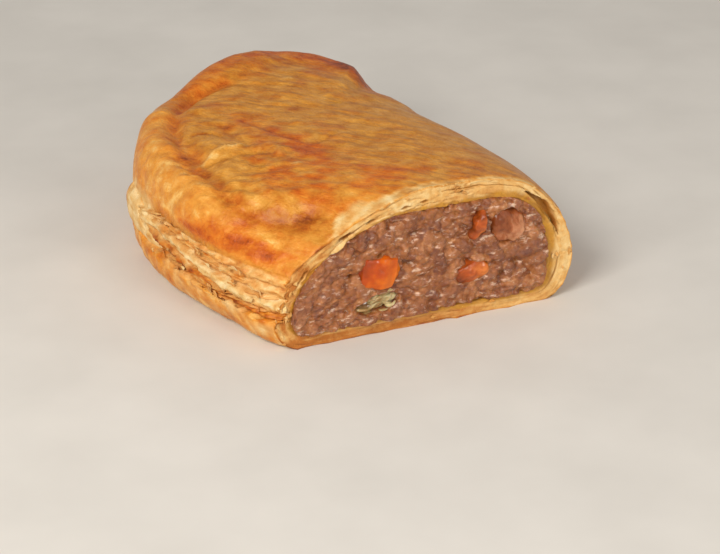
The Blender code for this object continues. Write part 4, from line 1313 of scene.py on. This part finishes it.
# the juice colour stands for real juice in the inner leaves and for painted shade in the pockets
colour = pastry.blend(pastry.spread(pastry.paint("soaked_and_shaded"), 0.0, 1.0, 0.0, 0.85), colour, juice_and_shade_colour)
pastry.wire("Base Color", colour)
shine = pastry.math("MULTIPLY_ADD", mottle, 0.30, 0.22)
pastry.wire("Roughness", pastry.math("MULTIPLY_ADD", pastry.paint("raw"), 0.25, shine))
crumple = pastry.total(
    pastry.times(speck, 0.25), pastry.times(fibre, 0.5),
    pastry.times(mottle, 0.9), pastry.times(terrace, 0.12),
)
pastry.bump(crumple, 0.65, 0.9)
pastry.set(IOR=1.4, Specular_IOR_Level=0.25, Coat_Weight=0.06, Coat_Roughness=0.18)
crust.data.materials.append(pastry.material)
leaves.data.materials.append(pastry.material)
print("pastry:", len(pastry.tree.nodes), "nodes")

# %% wet mince
gravy = Recipe("wet_mince")
grains = gravy.noise(1.3, 4.0, 0.6)
clots = gravy.cells(1.5)
clouds = gravy.noise(7.0, 3.0, 0.5)
level = gravy.times(gravy.paint("tone"), 0.36)
level = gravy.total(level, gravy.around(grains, 0.60), gravy.around(clouds, 0.25), 0.25)
meat = gravy.ramp(
    level,
    (0.0, 0.28, 0.52, 0.76, 1.0),
    ((0.38, 0.16, 0.05), (0.50, 0.26, 0.09), (0.60, 0.35, 0.15), (0.71, 0.46, 0.26), (0.86, 0.68, 0.52)),
)
# recessed mince is painted towards dark brown as painted shade
meat = gravy.blend(gravy.times(gravy.paint("crevice_shade"), 0.45), meat, linear(0.36, 0.17, 0.06))
# pale flecks, partly fat and partly painted glints of the wet gravy
fat_flecks_and_glints = gravy.spread(gravy.noise(1.4, 4.0, 0.6, stretch=(0.5, 1.0, 1.3)), 0.57, 0.70, 0.0, 0.70)
meat = gravy.blend(fat_flecks_and_glints, meat, linear(0.92, 0.80, 0.70))
gravy.wire("Base Color", meat)
gravy.wire("Roughness", gravy.spread(grains, 0.3, 0.7, 0.30, 0.50))
gravy.bump(gravy.total(grains, gravy.times(clots, 0.4)), 0.50, 0.8)
# the film of gravy has a waviness of its own, and its glints follow that
gravy.bump(gravy.noise(1.9, 4.0, 0.6), 2.2, 1.0, "Coat Normal")
gravy.set(IOR=1.4, Specular_IOR_Level=0.20, Coat_Weight=1.0, Coat_Roughness=0.07, Coat_IOR=1.6)
gravy.set(Subsurface_Weight=0.25, Subsurface_Scale=0.0015)
mince.data.materials.clear()
mince.data.materials.append(gravy.material)
print("mince:", len(gravy.tree.nodes), "nodes")

# %% carrot, onion and lump
dice_finish = {
    "carrot": ((0.48, 0.16, 0.03), (0.73, 0.29, 0.03), (0.93, 0.49, 0.06)),
    "carrot in gravy": ((0.46, 0.20, 0.06), (0.69, 0.31, 0.09), (0.84, 0.48, 0.20)),
    "onion": ((0.50, 0.35, 0.18), (0.62, 0.49, 0.29), (0.84, 0.77, 0.58)),
    "lump": ((0.47, 0.23, 0.10), (0.63, 0.35, 0.19), (0.80, 0.56, 0.40)),
}


def moist(name, tones, wave_mm, fine_share, fibre_stretch):
    """A wet cooked surface in three tones, with fibres along one way."""
    recipe = Recipe(name)
    fine = recipe.noise(wave_mm, 4.0, 0.6, stretch=fibre_stretch)
    broad = recipe.noise(6.0, 2.0, 0.5)
    level = recipe.total(recipe.around(fine, fine_share), recipe.around(broad, 0.5))
    # the painted light lifts each piece towards the pale end of its tones on one side
    level = recipe.total(level, recipe.times(recipe.paint("painted_glow"), 0.6), 0.2)
    recipe.wire("Base Color", recipe.ramp(level, (0.15, 0.5, 0.85), tones))
    recipe.wire("Roughness", recipe.spread(fine, 0.3, 0.7, 0.10, 0.26))
    recipe.bump(recipe.total(fine, broad), 0.25, 0.6)
    recipe.set(IOR=1.4, Specular_IOR_Level=0.15, Coat_Weight=0.6, Coat_Roughness=0.05)
    recipe.set(Subsurface_Weight=0.2, Subsurface_Scale=0.002)
    return recipe.material


carrot_bright.data.materials.append(moist("cooked_carrot", dice_finish["carrot"], 1.6, 0.15, (0.6, 1.0, 1.0)))
glazed_carrot = moist("carrot_in_gravy", dice_finish["carrot in gravy"], 1.4, 0.40, (0.6, 1.0, 1.0))
for piece in carrots_in_gravy:
    piece.data.materials.append(glazed_carrot)
onion.data.materials.append(moist("cooked_onion", dice_finish["onion"], 1.1, 0.45, (0.3, 1.0, 1.6)))
lump.data.materials.append(moist("cooked_meat", dice_finish["lump"], 1.2, 0.45, (1.0, 1.0, 0.5)))
print(len(bpy.data.materials), "materials so far")

# %% [markdown]
# ## Floor and light
# A plain pale floor and three soft lamps are enough. The main one stands on the left and in front,
# high enough to graze the lid, so the groove and the wrinkles read. A small low one in front puts
# glints on the wet mince, and a broad weak one on the right opens the shadows.

# %% floor and light
bpy.ops.object.select_all(action="DESELECT")
bpy.ops.mesh.primitive_plane_add(size=4.0, location=(0.0, 0.0, 0.0))
floor = bpy.context.object
floor.name = "floor"
paper = Recipe("pale_floor")
tint = paper.ramp(paper.noise(30.0, 3.0, 0.5), (0.3, 0.7), ((0.85, 0.83, 0.80), (0.88, 0.86, 0.83)))
paper.wire("Base Color", tint)
paper.set(Roughness=0.7)
floor.data.materials.append(paper.material)
world = bpy.data.worlds.new("studio")
world.use_nodes = True
background = world.node_tree.nodes["Background"]
background.inputs["Color"].default_value = (1.0, 0.97, 0.93, 1.0)
background.inputs["Strength"].default_value = 0.40
bpy.context.scene.world = world


def area_light(name, place_m, size, energy, tint):
    """A soft square lamp that shines on the middle of the part."""
    data = bpy.data.lights.new(name, "AREA")
    data.size, data.energy, data.color = size, energy, tint
    lamp = bpy.data.objects.new(name, data)
    lamp.location = place_m
    lamp.rotation_euler = (-Vector(place_m)).to_track_quat("-Z", "Y").to_euler()
    bpy.context.scene.collection.objects.link(lamp)


area_light("key", (-0.60, -0.45, 0.60), 0.40, 6.5, (1.0, 0.97, 0.92))
area_light("spark", (0.28, -0.90, 0.24), 0.20, 2.3, (1.0, 0.98, 0.96))
area_light("fill", (0.45, -0.75, 0.45), 0.7, 0.8, (1.0, 0.97, 0.93))
bpy.context.scene.view_settings.view_transform = "Standard"
print(len(bpy.data.lights), "lamps and the world")
